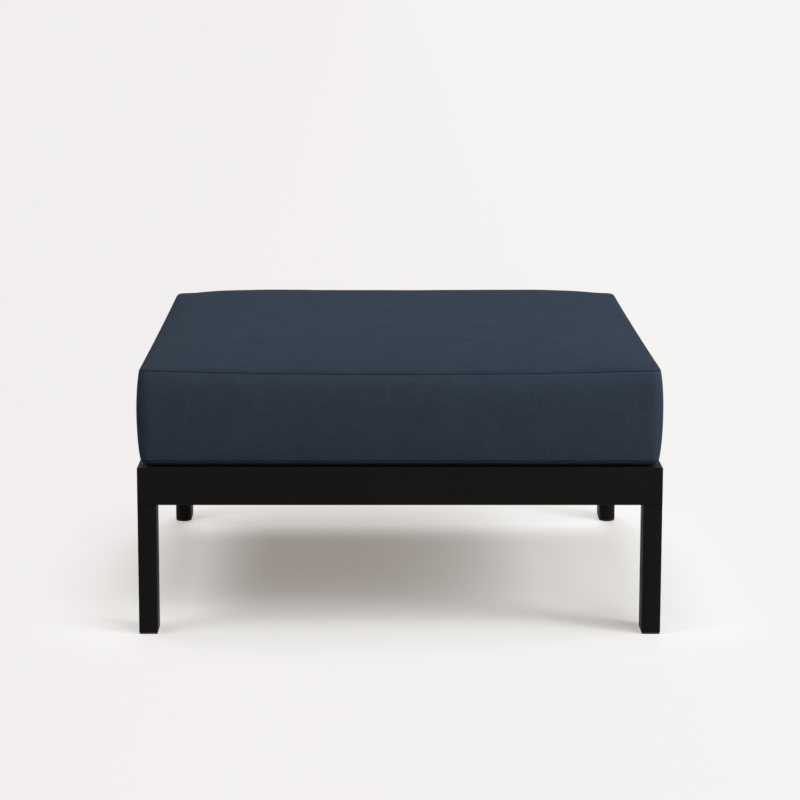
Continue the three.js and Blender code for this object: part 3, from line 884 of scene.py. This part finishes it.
def rounded(x, y, half, radius, start_half, start_radius):
    """Takes points of a square with corner squares of start_radius to a rounded outline."""
    straight, start = half - radius, start_half - start_radius
    a, b = np.abs(x) - start, np.abs(y) - start
    corner = (a > 0) & (b > 0)
    reach = np.maximum(np.maximum(a, b), 1e-9)
    low = np.minimum(a, b) / reach
    angle = np.where(a >= b, low * math.pi / 4, math.pi / 2 - low * math.pi / 4)
    grow = radius / start_radius
    results = []
    for place, beyond, share_of_arm in ((x, a, np.cos(angle)), (y, b, np.sin(angle))):
        size = np.abs(place)
        moved = np.where(size <= start, size * straight / start, straight + beyond * grow)
        moved = np.where(corner, straight + reach * grow * share_of_arm, moved)
        results.append(np.sign(place) * moved)
    return results


def cover_form(s, blank, across, levels):
    """The filled form of each point of the blank, its level from 0 to 1 and its place in
    the square plan."""
    raw = points_of(blank)
    step = len(across) - 1
    x, y = (across[np.rint((raw[:, i] + 1) / 2 * step).astype(int)] for i in (0, 1))
    level = levels[np.rint(raw[:, 2] * (len(levels) - 1)).astype(int)]
    bow = 1 - np.abs(2 * level - 1) ** s.bow
    out_x, out_y = rounded(
        x, y, s.seam_half + s.bulge * bow, s.corner + s.corner_swell * bow, s.seam_half, s.corner
    )
    above, under = top_height(s, out_x, out_y), under_height(s, out_x, out_y)
    # rows of cells up to the zip stay level, so that none crosses an edge of its window
    sagging = np.maximum(level - s.level_rows, 0) / (1 - s.level_rows)
    sag = s.seam_high - top_seam_height(s, out_x, out_y)
    wall = s.seam_low + (s.seam_high - s.seam_low) * level - sag * sagging
    z = np.where(level >= 1, above, np.where(level <= 0, under, wall))
    return np.stack([out_x, out_y, z], 1), level, (x, y)


def near_zip(z, points):
    """Which points are so near the zip that they stay flat."""
    x, y, height = points.T
    beside = (np.abs(height - z.height) < FLAT_BESIDE) & (np.abs(x) < z.half + FLAT_BEYOND)
    return (y > BEHIND) & beside


def held_points(s, z, form, level, square):
    """The sewn lines, the flat underside and the band of the zip don't move."""
    x, y = square
    edge = np.maximum(np.abs(x), np.abs(y)) >= s.seam_half - TINY
    return (edge & (level >= 1)) | (level <= 0) | near_zip(z, form)


def seam_distance(s, points, on_wall):
    """How far each point is from the nearest sewn line, measured along its panel."""
    x, y, height = points.T
    inside = s.seam_half - np.maximum(np.abs(x), np.abs(y))
    wall = np.minimum(height - s.seam_low, top_seam_height(s, x, y) - height)
    return np.maximum(np.where(on_wall, wall, inside), 0)


def fill_cover(s, blank, form, level, held):
    """Swells the cover from a slightly smaller start, as its filling does. The filling holds
    it out to the form at least, and its seams let it swell only a little further."""
    move_points(blank, form)
    normals = normals_of(blank)
    ways = normals * (~held)[:, None]
    move_points(blank, form - ways * s.start_under)
    group = blank.vertex_groups.new(name="held")
    group.add([int(i) for i in np.flatnonzero(held)], 1.0, "REPLACE")
    only(blank)
    cloth = blank.modifiers.new("Filling", "CLOTH")
    for key, value in CLOTH.items():
        setattr(cloth.settings, key, value)
    cloth.settings.uniform_pressure_force = s.pressure
    cloth.settings.effector_weights.gravity = 0
    cloth.point_cache.frame_start, cloth.point_cache.frame_end = 1, SWELL_FRAMES
    for step in range(1, SWELL_FRAMES + 1):
        bpy.context.scene.frame_set(step)
    bpy.ops.object.modifier_apply(modifier=cloth.name)
    swell = ((points_of(blank) - form) * normals).sum(1)
    swell = (swell + np.sqrt(swell**2 + s.soft**2)) / 2
    away = seam_distance(s, form, (level > 0) & (level < 1))
    swell = s.travel * np.tanh(swell / s.travel) * (1 - np.exp(-away / s.seam_calm))
    move_points(blank, form + ways * swell[:, None])


def panel_numbers(piece):
    """For each point the number of its panel, and 1 on the lines between panels too."""
    numbers = np.full(len(piece.data.vertices), -1)
    for face in piece.data.polygons:
        for index in face.vertices:
            if numbers[index] != 1:
                numbers[index] = face.material_index
    return numbers


def unevenness(s, z, cover):
    """Fine puckers square to the seams, and the broad unevenness of the filling."""
    points, numbers = points_of(cover), panel_numbers(cover)
    away = seam_distance(s, points, numbers == 1)
    flat = (numbers == 2) | near_zip(z, points)
    normals = normals_of(cover)
    moved = points.copy()
    for i, (x, y, height) in enumerate(points):
        if flat[i]:
            continue
        along = x if abs(y) > abs(x) else y
        # a noise of its own for each side of the cushion
        side = 3.7 * (abs(y) > abs(x)) + 11.3 * (x > 0) + 23.1 * (y > 0)
        fine = noise.noise((along / PUCKER_STEP, side, 5.1 + numbers[i]))
        fine *= 0.6 + noise.noise((along / PUCKER_GROUP, side, 2.2))
        broad = noise.noise((x / 0.13, y / 0.13, height / 0.11))
        broad += 0.5 * noise.noise((x / 0.055, y / 0.055, height / 0.05 + 9))
        near = math.exp(-away[i] / PUCKER_REACH) * (1 - math.exp(-away[i] / PUCKER_START))
        far = 1 - math.exp(-away[i] / DIMPLE_START)
        moved[i] += normals[i] * (s.pucker * fine * near * 2 + s.dimple * broad * far)
    move_points(cover, moved)


def outward(s, x, y):
    """Direction in plan away from the cushion, square to its rounded outline."""
    straight = s.seam_half - s.corner - 0.002
    over = [math.copysign(max(abs(place) - straight, 0), place) for place in (x, y)]
    away = Vector((*over, 0))
    if away.length < 1e-9:
        away = Vector((x, 0, 0)) if abs(x) > abs(y) else Vector((0, y, 0))
    return away.normalized()


def turn_edge(piece, test, pull_back, moves):
    """Turns an open edge of a panel in: extrudes it by each of the moves, and pulls the
    edge where it turns back a little, so that it rounds off."""
    edit(piece)
    choose(piece, "edges", lambda edge: edge.is_boundary and test(
        (edge.verts[0].co + edge.verts[1].co) / 2
    ))
    mesh = bmesh.from_edit_mesh(piece.data)
    ring = {v for e in mesh.edges if e.select for v in e.verts}
    pulls = {}
    for vertex in ring:
        others = [e.other_vert(vertex) for e in vertex.link_edges]
        inner = [v.co - vertex.co for v in others if v not in ring]
        if inner:
            toward = sum(inner, Vector()) / len(inner)
            pulls[vertex.index] = toward.normalized() * pull_back
    for count, move in enumerate(moves):
        bpy.ops.mesh.extrude_edges_indiv()
        mesh = bmesh.from_edit_mesh(piece.data)
        for vertex in mesh.verts:
            if vertex.select:
                vertex.co += move(vertex.co)
        if count == 0:
            mesh.verts.ensure_lookup_table()
            for index, pull in pulls.items():
                mesh.verts[index].co += pull
        bmesh.update_edit_mesh(piece.data)
    leave()


def weave_map(piece, place):
    """Lays the cloth's own map on a panel, in metres of cloth over MAP_SPAN."""
    layer = piece.data.uv_layers.new(name=WEAVE_MAP)
    for loop in piece.data.loops:
        along, up = place(piece.data.vertices[loop.vertex_index].co)
        layer.data[loop.index].uv = (along / MAP_SPAN + 0.5, up / MAP_SPAN + 0.5)


def painted_light_map(s, piece):
    """How much lighter each point is painted, as painted light on the wall's upper edge: most along
    the top seam, and less the further below.
    """
    x, y, height = points_of(piece).T
    below = top_seam_height(s, x, y) - height
    mottle_and_painted_light = np.where(below > -1e-4, np.exp(-np.maximum(below, 0) / s.painted_light_reach), 0)
    layer = piece.data.attributes.new(PAINTED_LIGHT_MAP, "FLOAT", "POINT")
    layer.data.foreach_set("value", mottle_and_painted_light)


def round_the_wall(s):
    """Where a point of the boxing is along the strip, from the middle of the front."""
    radius = s.corner + s.corner_swell
    straight = s.seam_half + s.bulge - radius
    bend = radius * math.pi / 2

    def place(point):
        x, y = abs(point.x), point.y
        over, past = x - straight, abs(y) - straight
        if over > 0 and past > 0:
            turned = math.atan2(over, past) if y < 0 else math.atan2(past, over)
            along = (straight if y < 0 else straight * 3 + bend) + radius * turned
        elif over > 0:
            along = straight + bend + y + straight
        else:
            along = x if y < 0 else straight * 4 + bend * 2 - x
        return math.copysign(along, point.x), point.z

    return place


def panels_of(cover):
    """Cuts the cover along its seams into its panels, by material number."""
    edit(cover)
    select_mesh()
    bpy.ops.mesh.separate(type="MATERIAL")
    leave()
    found = {}
    for piece in bpy.context.selected_objects:
        heights = points_of(piece)[:, 2]
        tall, high = np.ptp(heights) > WALL_TALL, heights.min() > TOP_ABOVE
        found["wall" if tall else ("top" if high else "bottom")] = piece
    return found


def cut_zip_window(wall, z):
    """Cuts the rear of the boxing for the zip, and takes the strip above and the one below
    it off as pieces of their own."""
    edit(wall)
    cuts = [((0, 0, z.height + side * z.window), (0, 0, 1)) for side in (1, -1)]
    cuts += [((side * z.half, 0, 0), (1, 0, 0)) for side in (1, -1)]
    for place, normal in cuts:
        choose(wall, "faces", lambda face: face.calc_center_median().y > 0.39)
        bpy.ops.mesh.bisect(plane_co=place, plane_no=normal)

    def choose_behind(low, high):
        def behind(face):
            at = face.calc_center_median()
            return at.y > BEHIND and abs(at.x) < z.half and low < at.z - z.height < high

        choose(wall, "faces", behind)

    choose_behind(-z.window, z.window)
    bpy.ops.mesh.delete(type="FACE")
    strips = []
    for low, high in ((z.window, 1), (-1, -z.window)):
        choose_behind(low, high)
        before = set(bpy.data.objects)
        bpy.ops.mesh.separate(type="SELECTED")
        strips.append(next(o for o in bpy.data.objects if o not in before))
    leave()
    return strips


def turn_edges(s, z, top, wall, bottom, upper, lower):
    """Turns the panels' edges in at the seams and beside the zip."""

    def inward(at):
        return outward(s, at.x, at.y) * -s.seam_depth

    def hemmed(way):
        def move(at):
            return Vector((0, 0, way * s.hem)) - outward(s, at.x, at.y) * s.hem_lean

        return [inward, move]

    def all_round(at):
        return True

    def is_high(at):
        return at.z > s.seam_high - AT_SEAM

    def is_low(at):
        return at.z < s.seam_low + AT_SEAM

    def in_window(at):
        beside = abs(abs(at.z - z.height) - z.window) < AT_WINDOW
        return beside and abs(at.x) < z.half - 0.0001

    for piece, test, way in (
        (top, all_round, -1), (bottom, all_round, 1), (wall, is_high, -1), (wall, is_low, 1),
        (upper, is_high, -1), (lower, is_low, 1),
    ):
        turn_edge(piece, test, s.seam_width, hemmed(way))
    fold = Vector((0, -s.fold, 0))
    for piece, way in ((upper, 1), (lower, -1)):
        back = Vector((0, 0, way * s.hem))
        turn_edge(piece, in_window, WINDOW_PULL, [lambda at: fold, lambda at: back])


def finish_panel(s, piece, name, material, place):
    """Gives a panel its thickness, its map, its name and what it stands for."""
    piece.name = piece.data.name = "cushion_" + name
    weave_map(piece, place)
    painted_light_map(s, piece)
    piece.modifiers.clear()
    piece.vertex_groups.clear()
    finish_modifier(piece, "Cloth thickness", "SOLIDIFY", thickness=s.fabric, offset=-1)
    only(piece)
    bpy.ops.object.shade_smooth()
    dress(piece, material, "cushion", "cover_fabric", "cover_" + name)


class OTTOMAN_OT_cover(bpy.types.Operator):
    """Sews and fills the cushion's cover"""

    bl_idname = "ottoman.cover"
    bl_label = "Cushion cover"

    def execute(self, context):
        s, z = context.scene.ottoman_cushion, context.scene.ottoman_zip
        fabric = fabric_material(context.scene.ottoman_colours)
        cover, across, levels = cover_blank(s)
        form, level, square = cover_form(s, cover, across, levels)
        fill_cover(s, cover, form, level, held_points(s, z, form, level, square))
        edit(cover)
        choose(cover, "edges", lambda edge: len({f.material_index for f in edge.link_faces}) == 2)
        bpy.ops.transform.edge_crease(value=1)
        leave()
        finish_modifier(cover, "Round", "SUBSURF", levels=1, render_levels=1)
        unevenness(s, z, cover)
        panels = panels_of(cover)
        top, wall, bottom = panels["top"], panels["wall"], panels["bottom"]
        upper, lower = cut_zip_window(wall, z)
        turn_edges(s, z, top, wall, bottom, upper, lower)

        def flat(at):
            return at.x, at.y

        def from_behind(at):
            return -at.x, at.z

        finish_panel(s, top, "top_panel", fabric, flat)
        finish_panel(s, wall, "boxing", fabric, round_the_wall(s))
        finish_panel(s, upper, "zip_strip_upper", fabric, from_behind)
        finish_panel(s, lower, "zip_strip_lower", fabric, from_behind)
        finish_panel(s, bottom, "bottom_panel", fabric, flat)
        return {"FINISHED"}


# The filling


class OTTOMAN_OT_filling(bpy.types.Operator):
    """Cuts the foam and lays the wadding on it"""

    bl_idname = "ottoman.filling"
    bl_label = "Filling"

    def execute(self, context):
        look, s = context.scene.ottoman_colours, context.scene.ottoman_cushion
        wadding = wadding_material(look)
        for block, name, material, slot, edge in (
            ("foam_core", "cushion_foam", foam_material(look), "foam", 0.002),
            ("wadding_top", "cushion_wadding_top", wadding, "wadding", 0.003),
            ("wadding_bottom", "cushion_wadding_bottom", wadding, "wadding", 0.003),
        ):
            piece = copy_of(block, name)
            edit(piece)
            select_mesh()
            bpy.ops.transform.shrink_fatten(value=-s.slack)
            leave()
            break_edges(piece, edge, 3, 40)
            smooth_by_angle(piece, 60)
            dress(piece, material, "cushion", slot, block)
        return {"FINISHED"}


# The zip


def zip_tape(z, level, up, material):
    """A woven tape with a thicker cord along its far edge."""
    y = (TAPE_LOW.y + TAPE_HIGH.y) / 2
    near, far = z.height + up * z.tooth_far * 0.6, z.height + up * z.tape_far
    low = (-TAPE_HIGH.x, y - z.tape / 2, min(near, far))
    high = (TAPE_HIGH.x, y + z.tape / 2, max(near, far))
    piece = slab(f"zip_tape_{level}_woven", low, high)
    cord = [z.height + up * (z.tape_far - inside) for inside in (0.0035, 0.0018, 0.0009)]
    for ring in cord:
        cut_across((0, 0, ring), (0, 0, 1))
    for side in (-1, 1):
        choose(piece, "verts", lambda v: abs(v.co.z - cord[1]) < 1e-5 and (v.co.y - y) * side > 0)
        bpy.ops.transform.translate(value=(0, side * z.cord_rise, 0))
    leave()
    break_edges(piece, 0.00012)
    smooth_by_angle(piece, 40)
    dress(piece, material, "cushion", "zip_tape", f"zip_tape_{level}")


def zip_teeth(z, level, up, material):
    """One tooth with a narrower head, repeated along the tape."""
    y, half = (TAPE_LOW.y + TAPE_HIGH.y) / 2, z.tooth_depth / 2
    count = int(2 * z.chain_half / z.pitch)
    start = -(count - 1) * z.pitch / 2 + up * z.pitch / 4
    near, far = z.height + up * z.tooth_near, z.height + up * z.tooth_far
    neck = near + up * z.tooth_head
    low = (start - z.tooth_half, y - half, min(near, far))
    high = (start + z.tooth_half, y + half, max(near, far))
    piece = slab(f"zip_teeth_{level}", low, high)
    cut_across((0, 0, neck), (0, 0, 1))
    for at, size in ((neck, (0.62, 0.9, 1)), (near, (0.8, 0.8, 1))):
        choose(piece, "verts", lambda v: abs(v.co.z - at) < TINY)
        bpy.ops.transform.resize(value=size, center_override=(start, y, at))
    leave()
    repeat(piece, count, (z.pitch, 0, 0))
    smooth_by_angle(piece, 30)
    dress(piece, material, "cushion", "zip_tape", f"zip_tape_{level}")


def cast_piece(part, name, material, body):
    """A small metal casting: the CAD solid with its edges broken."""
    piece = copy_of(part, name)
    break_edges(piece, 0.00018, 2, 35)
    smooth_by_angle(piece, 35)
    dress(piece, material, body, "zip_metal", part)


class OTTOMAN_OT_zip(bpy.types.Operator):
    """Makes the zip's tapes, teeth, stops, slider and pull"""

    bl_idname = "ottoman.zip"
    bl_label = "Zip"

    def execute(self, context):
        z, look = context.scene.ottoman_zip, context.scene.ottoman_colours
        woven, nylon, metal = tape_material(look), teeth_material(look), metal_material(look)
        for level, up in (("upper", 1), ("lower", -1)):
            zip_tape(z, level, up, woven)
            zip_teeth(z, level, up, nylon)
        for stop in STOPS:
            cast_piece(stop, stop + "_clip", metal, "cushion")
        cast_piece("zip_slider", "zip_slider_body", metal, "slider")
        cast_piece("zip_pull", "zip_pull_tab", metal, "pull")
        return {"FINISHED"}


def stitch_row(z, name, start, end, material):
    """Stitches between two places on the rear wall, each dipping into the cloth at its ends."""
    start, end = Vector(start), Vector(end)
    count = max(2, round((end - start).length / z.stitch))
    step = (end - start) / count
    way = step.normalized()
    first, long = start + step / 2, z.stitch * z.stitch_share
    piece = rod(name, first, step, long, z.thread, 8)
    for share_of_half in (-0.6, 0.6):
        cut_across(first + way * share_of_half * long / 2, step)
    choose(piece, "verts", lambda v: abs((v.co - first).dot(way)) > long / 2 - TINY)
    bpy.ops.transform.translate(value=(0, -z.thread, 0))
    leave()
    repeat(piece, count, step)
    smooth_by_angle(piece, 60)
    dress(piece, material, "cushion", "cover_fabric")


class OTTOMAN_OT_stitching(bpy.types.Operator):
    """Runs a line of stitches round the zip"""

    bl_idname = "ottoman.stitching"
    bl_label = "Stitching"

    def execute(self, context):
        s, z = context.scene.ottoman_cushion, context.scene.ottoman_zip
        thread = thread_material(context.scene.ottoman_colours)
        wall, off = s.seam_half + s.bulge + z.thread * 0.7, z.window + z.stitch_in
        x, low, high = z.half + z.stitch_in, z.height - off, z.height + off
        for name, start, end in (
            ("upper", (-x, wall, high), (x, wall, high)),
            ("lower", (-x, wall, low), (x, wall, low)),
            ("left", (-x, wall, low), (-x, wall, high)),
            ("right", (x, wall, low), (x, wall, high)),
        ):
            stitch_row(z, "zip_stitches_" + name, start, end, thread)
        return {"FINISHED"}


# The stage

# Wide soft lamps: azimuth from +X and height in degrees, and the light each lays on the floor
LAMPS = {
    "key": (-30, 30, 0.826),
    "front_right": (-60, 30, 0.378),
    "right": (0, 30, 0.217),
    "left": (-150, 52, 0.578),
    "left_rear": (150, 52, 0.288),
    "rear": (90, 52, 0.996),
}


def add_lamp(stage, name, azimuth, height, floor_light):
    """A wide disc of light, aimed at the middle of the stool."""
    azimuth, height = math.radians(azimuth), math.radians(height)
    across, up = math.cos(height), math.sin(height)
    towards = Vector((math.cos(azimuth) * across, math.sin(azimuth) * across, up))
    data = bpy.data.lights.new(name, "AREA")
    data.shape = "DISK"
    data.size = 2 * stage.lamp_far * math.tan(stage.lamp_width / 2)
    data.energy = math.pi * stage.lamp_far**2 * floor_light / up
    lamp = bpy.data.objects.new(name, data)
    bpy.context.scene.collection.objects.link(lamp)
    lamp.location = towards * stage.lamp_far + Vector((0, 0, WALL_LOW.z))
    lamp.rotation_euler = towards.to_track_quat("Z", "Y").to_euler()


def seen_directly(tree):
    """1 for what the camera sees, also in a mirror or through glass."""
    rays = node(tree, "LightPath").outputs
    seen = calc(tree, "MAXIMUM", rays["Is Camera Ray"], rays["Is Glossy Ray"])
    return calc(tree, "MAXIMUM", seen, rays["Is Transmission Ray"])


def mixed_shader(tree, factor, first, second):
    return node(tree, "MixShader", {0: factor, 1: first, 2: second}).outputs[0]


def floor_material(look, stage):
    """Pale paper floor that keeps its shadow near the stool, lightened by an even glow of
    painted light, and runs into an even background further off."""
    material, tree = new_material("pale_floor")
    tree.nodes.remove(tree.nodes["Principled BSDF"])
    place = separated(tree, object_place(tree))
    fourth = [calc(tree, "POWER", calc(tree, "ABSOLUTE", place[axis]), 4.0) for axis in (0, 1)]
    off = calc(tree, "POWER", calc(tree, "ADD", *fourth), 0.25)
    far = node(tree, "MapRange", {
        "Value": off, 1: stage.fade_start, 2: stage.fade_end,
    }, interpolation_type="SMOOTHSTEP").outputs[0]
    across = spread(tree, place[0], -stage.backdrop_span, stage.backdrop_span)
    wide = tint(tree, across, look.backdrop_left, look.backdrop_right)
    # painted light: the floor glows evenly, which lightens its shadows
    backdrop, lift, paper, dim = (
        node(tree, kind, {0: tone}).outputs[0] for kind, tone in (
            ("Emission", wide),
            ("Emission", (*look.floor_shadow_glow, 1)),
            ("BsdfDiffuse", (*look.floor, 1)),
            ("BsdfDiffuse", [stage.bounce] * 3 + [1]),
        )
    )
    glowing_paper = node(tree, "AddShader", {0: paper, 1: lift}).outputs[0]
    shown = mixed_shader(tree, far, glowing_paper, backdrop)
    result = mixed_shader(tree, seen_directly(tree), dim, shown)
    tree.links.new(result, tree.nodes["Material Output"].inputs[0])
    return material


def add_camera(scene, stage):
    camera = bpy.data.objects.new("camera", bpy.data.cameras.new("camera"))
    scene.collection.objects.link(camera)
    camera.location = (stage.camera_x, stage.camera_y, stage.camera_z)
    camera.rotation_euler = (math.pi / 2 - stage.pitch, 0, 0)
    camera.data.sensor_width = 36
    camera.data.lens = stage.lens
    camera.data.shift_x, camera.data.shift_y = stage.shift_x, stage.shift_y
    camera.data.clip_end = 200
    scene.camera = camera


def add_world(scene, look, stage):
    """Even light from all round, and the backdrop's tone where it is seen directly."""
    world = bpy.data.worlds.new("studio")
    scene.world = world
    world.use_nodes = True
    tree = world.node_tree
    plain = tree.nodes["Background"]
    fill_in(tree, plain, {0: (1, 1, 1, 1), 1: stage.world})
    middle_tone = [(a + b) / 2 for a, b in zip(look.backdrop_left, look.backdrop_right)]
    shown = node(tree, "Background", {0: (*middle_tone, 1)}).outputs[0]
    mixed = mixed_shader(tree, seen_directly(tree), plain.outputs[0], shown)
    tree.links.new(mixed, tree.nodes["World Output"].inputs[0])


class OTTOMAN_OT_stage(bpy.types.Operator):
    """Sets up the camera, the lamps, the world and the floor"""

    bl_idname = "ottoman.stage"
    bl_label = "Stage"

    def execute(self, context):
        scene = context.scene
        stage, look = scene.ottoman_stage, scene.ottoman_colours
        scene.view_settings.view_transform = "Standard"
        add_camera(scene, stage)
        for name, (azimuth, height, floor_light) in LAMPS.items():
            add_lamp(stage, name, azimuth, height, floor_light)
        add_world(scene, look, stage)
        deselect_all()
        bpy.ops.mesh.primitive_plane_add(size=120)
        floor = bpy.context.object
        floor.name = "floor"
        floor.data.materials.append(floor_material(look, stage))
        return {"FINISHED"}


class OTTOMAN_PT_panel(bpy.types.Panel):
    """Lists the steps that build the stool, and their sizes"""

    bl_label = "Outdoor ottoman"
    bl_idname = "OTTOMAN_PT_panel"
    bl_space_type = "VIEW_3D"
    bl_region_type = "UI"
    bl_category = "Ottoman"

    def draw(self, context):
        layout = self.layout
        for step in STEPS:
            layout.operator("ottoman." + step)
        for group in GROUPS:
            box = layout.box()
            settings = getattr(context.scene, "ottoman_" + group)
            for name in settings.__annotations__:
                box.prop(settings, name)


STEPS = ("stage", "frame", "cover", "filling", "zip", "stitching")
GROUPS = {
    "frame": OTTOMAN_PG_frame,
    "cushion": OTTOMAN_PG_cushion,
    "zip": OTTOMAN_PG_zip,
    "colours": OTTOMAN_PG_colours,
    "stage": OTTOMAN_PG_stage,
}
CLASSES = (
    *GROUPS.values(),
    OTTOMAN_OT_stage,
    OTTOMAN_OT_frame,
    OTTOMAN_OT_cover,
    OTTOMAN_OT_filling,
    OTTOMAN_OT_zip,
    OTTOMAN_OT_stitching,
    OTTOMAN_PT_panel,
)


def register():
    for item in CLASSES:
        bpy.utils.register_class(item)
    for name, group in GROUPS.items():
        setattr(bpy.types.Scene, "ottoman_" + name, PointerProperty(type=group))


def unregister():
    for name in GROUPS:
        delattr(bpy.types.Scene, "ottoman_" + name)
    for item in reversed(CLASSES):
        bpy.utils.unregister_class(item)


def main():
    register()
    for step in STEPS:
        getattr(bpy.ops.ottoman, step)()


if __name__ == "__main__":
    main()
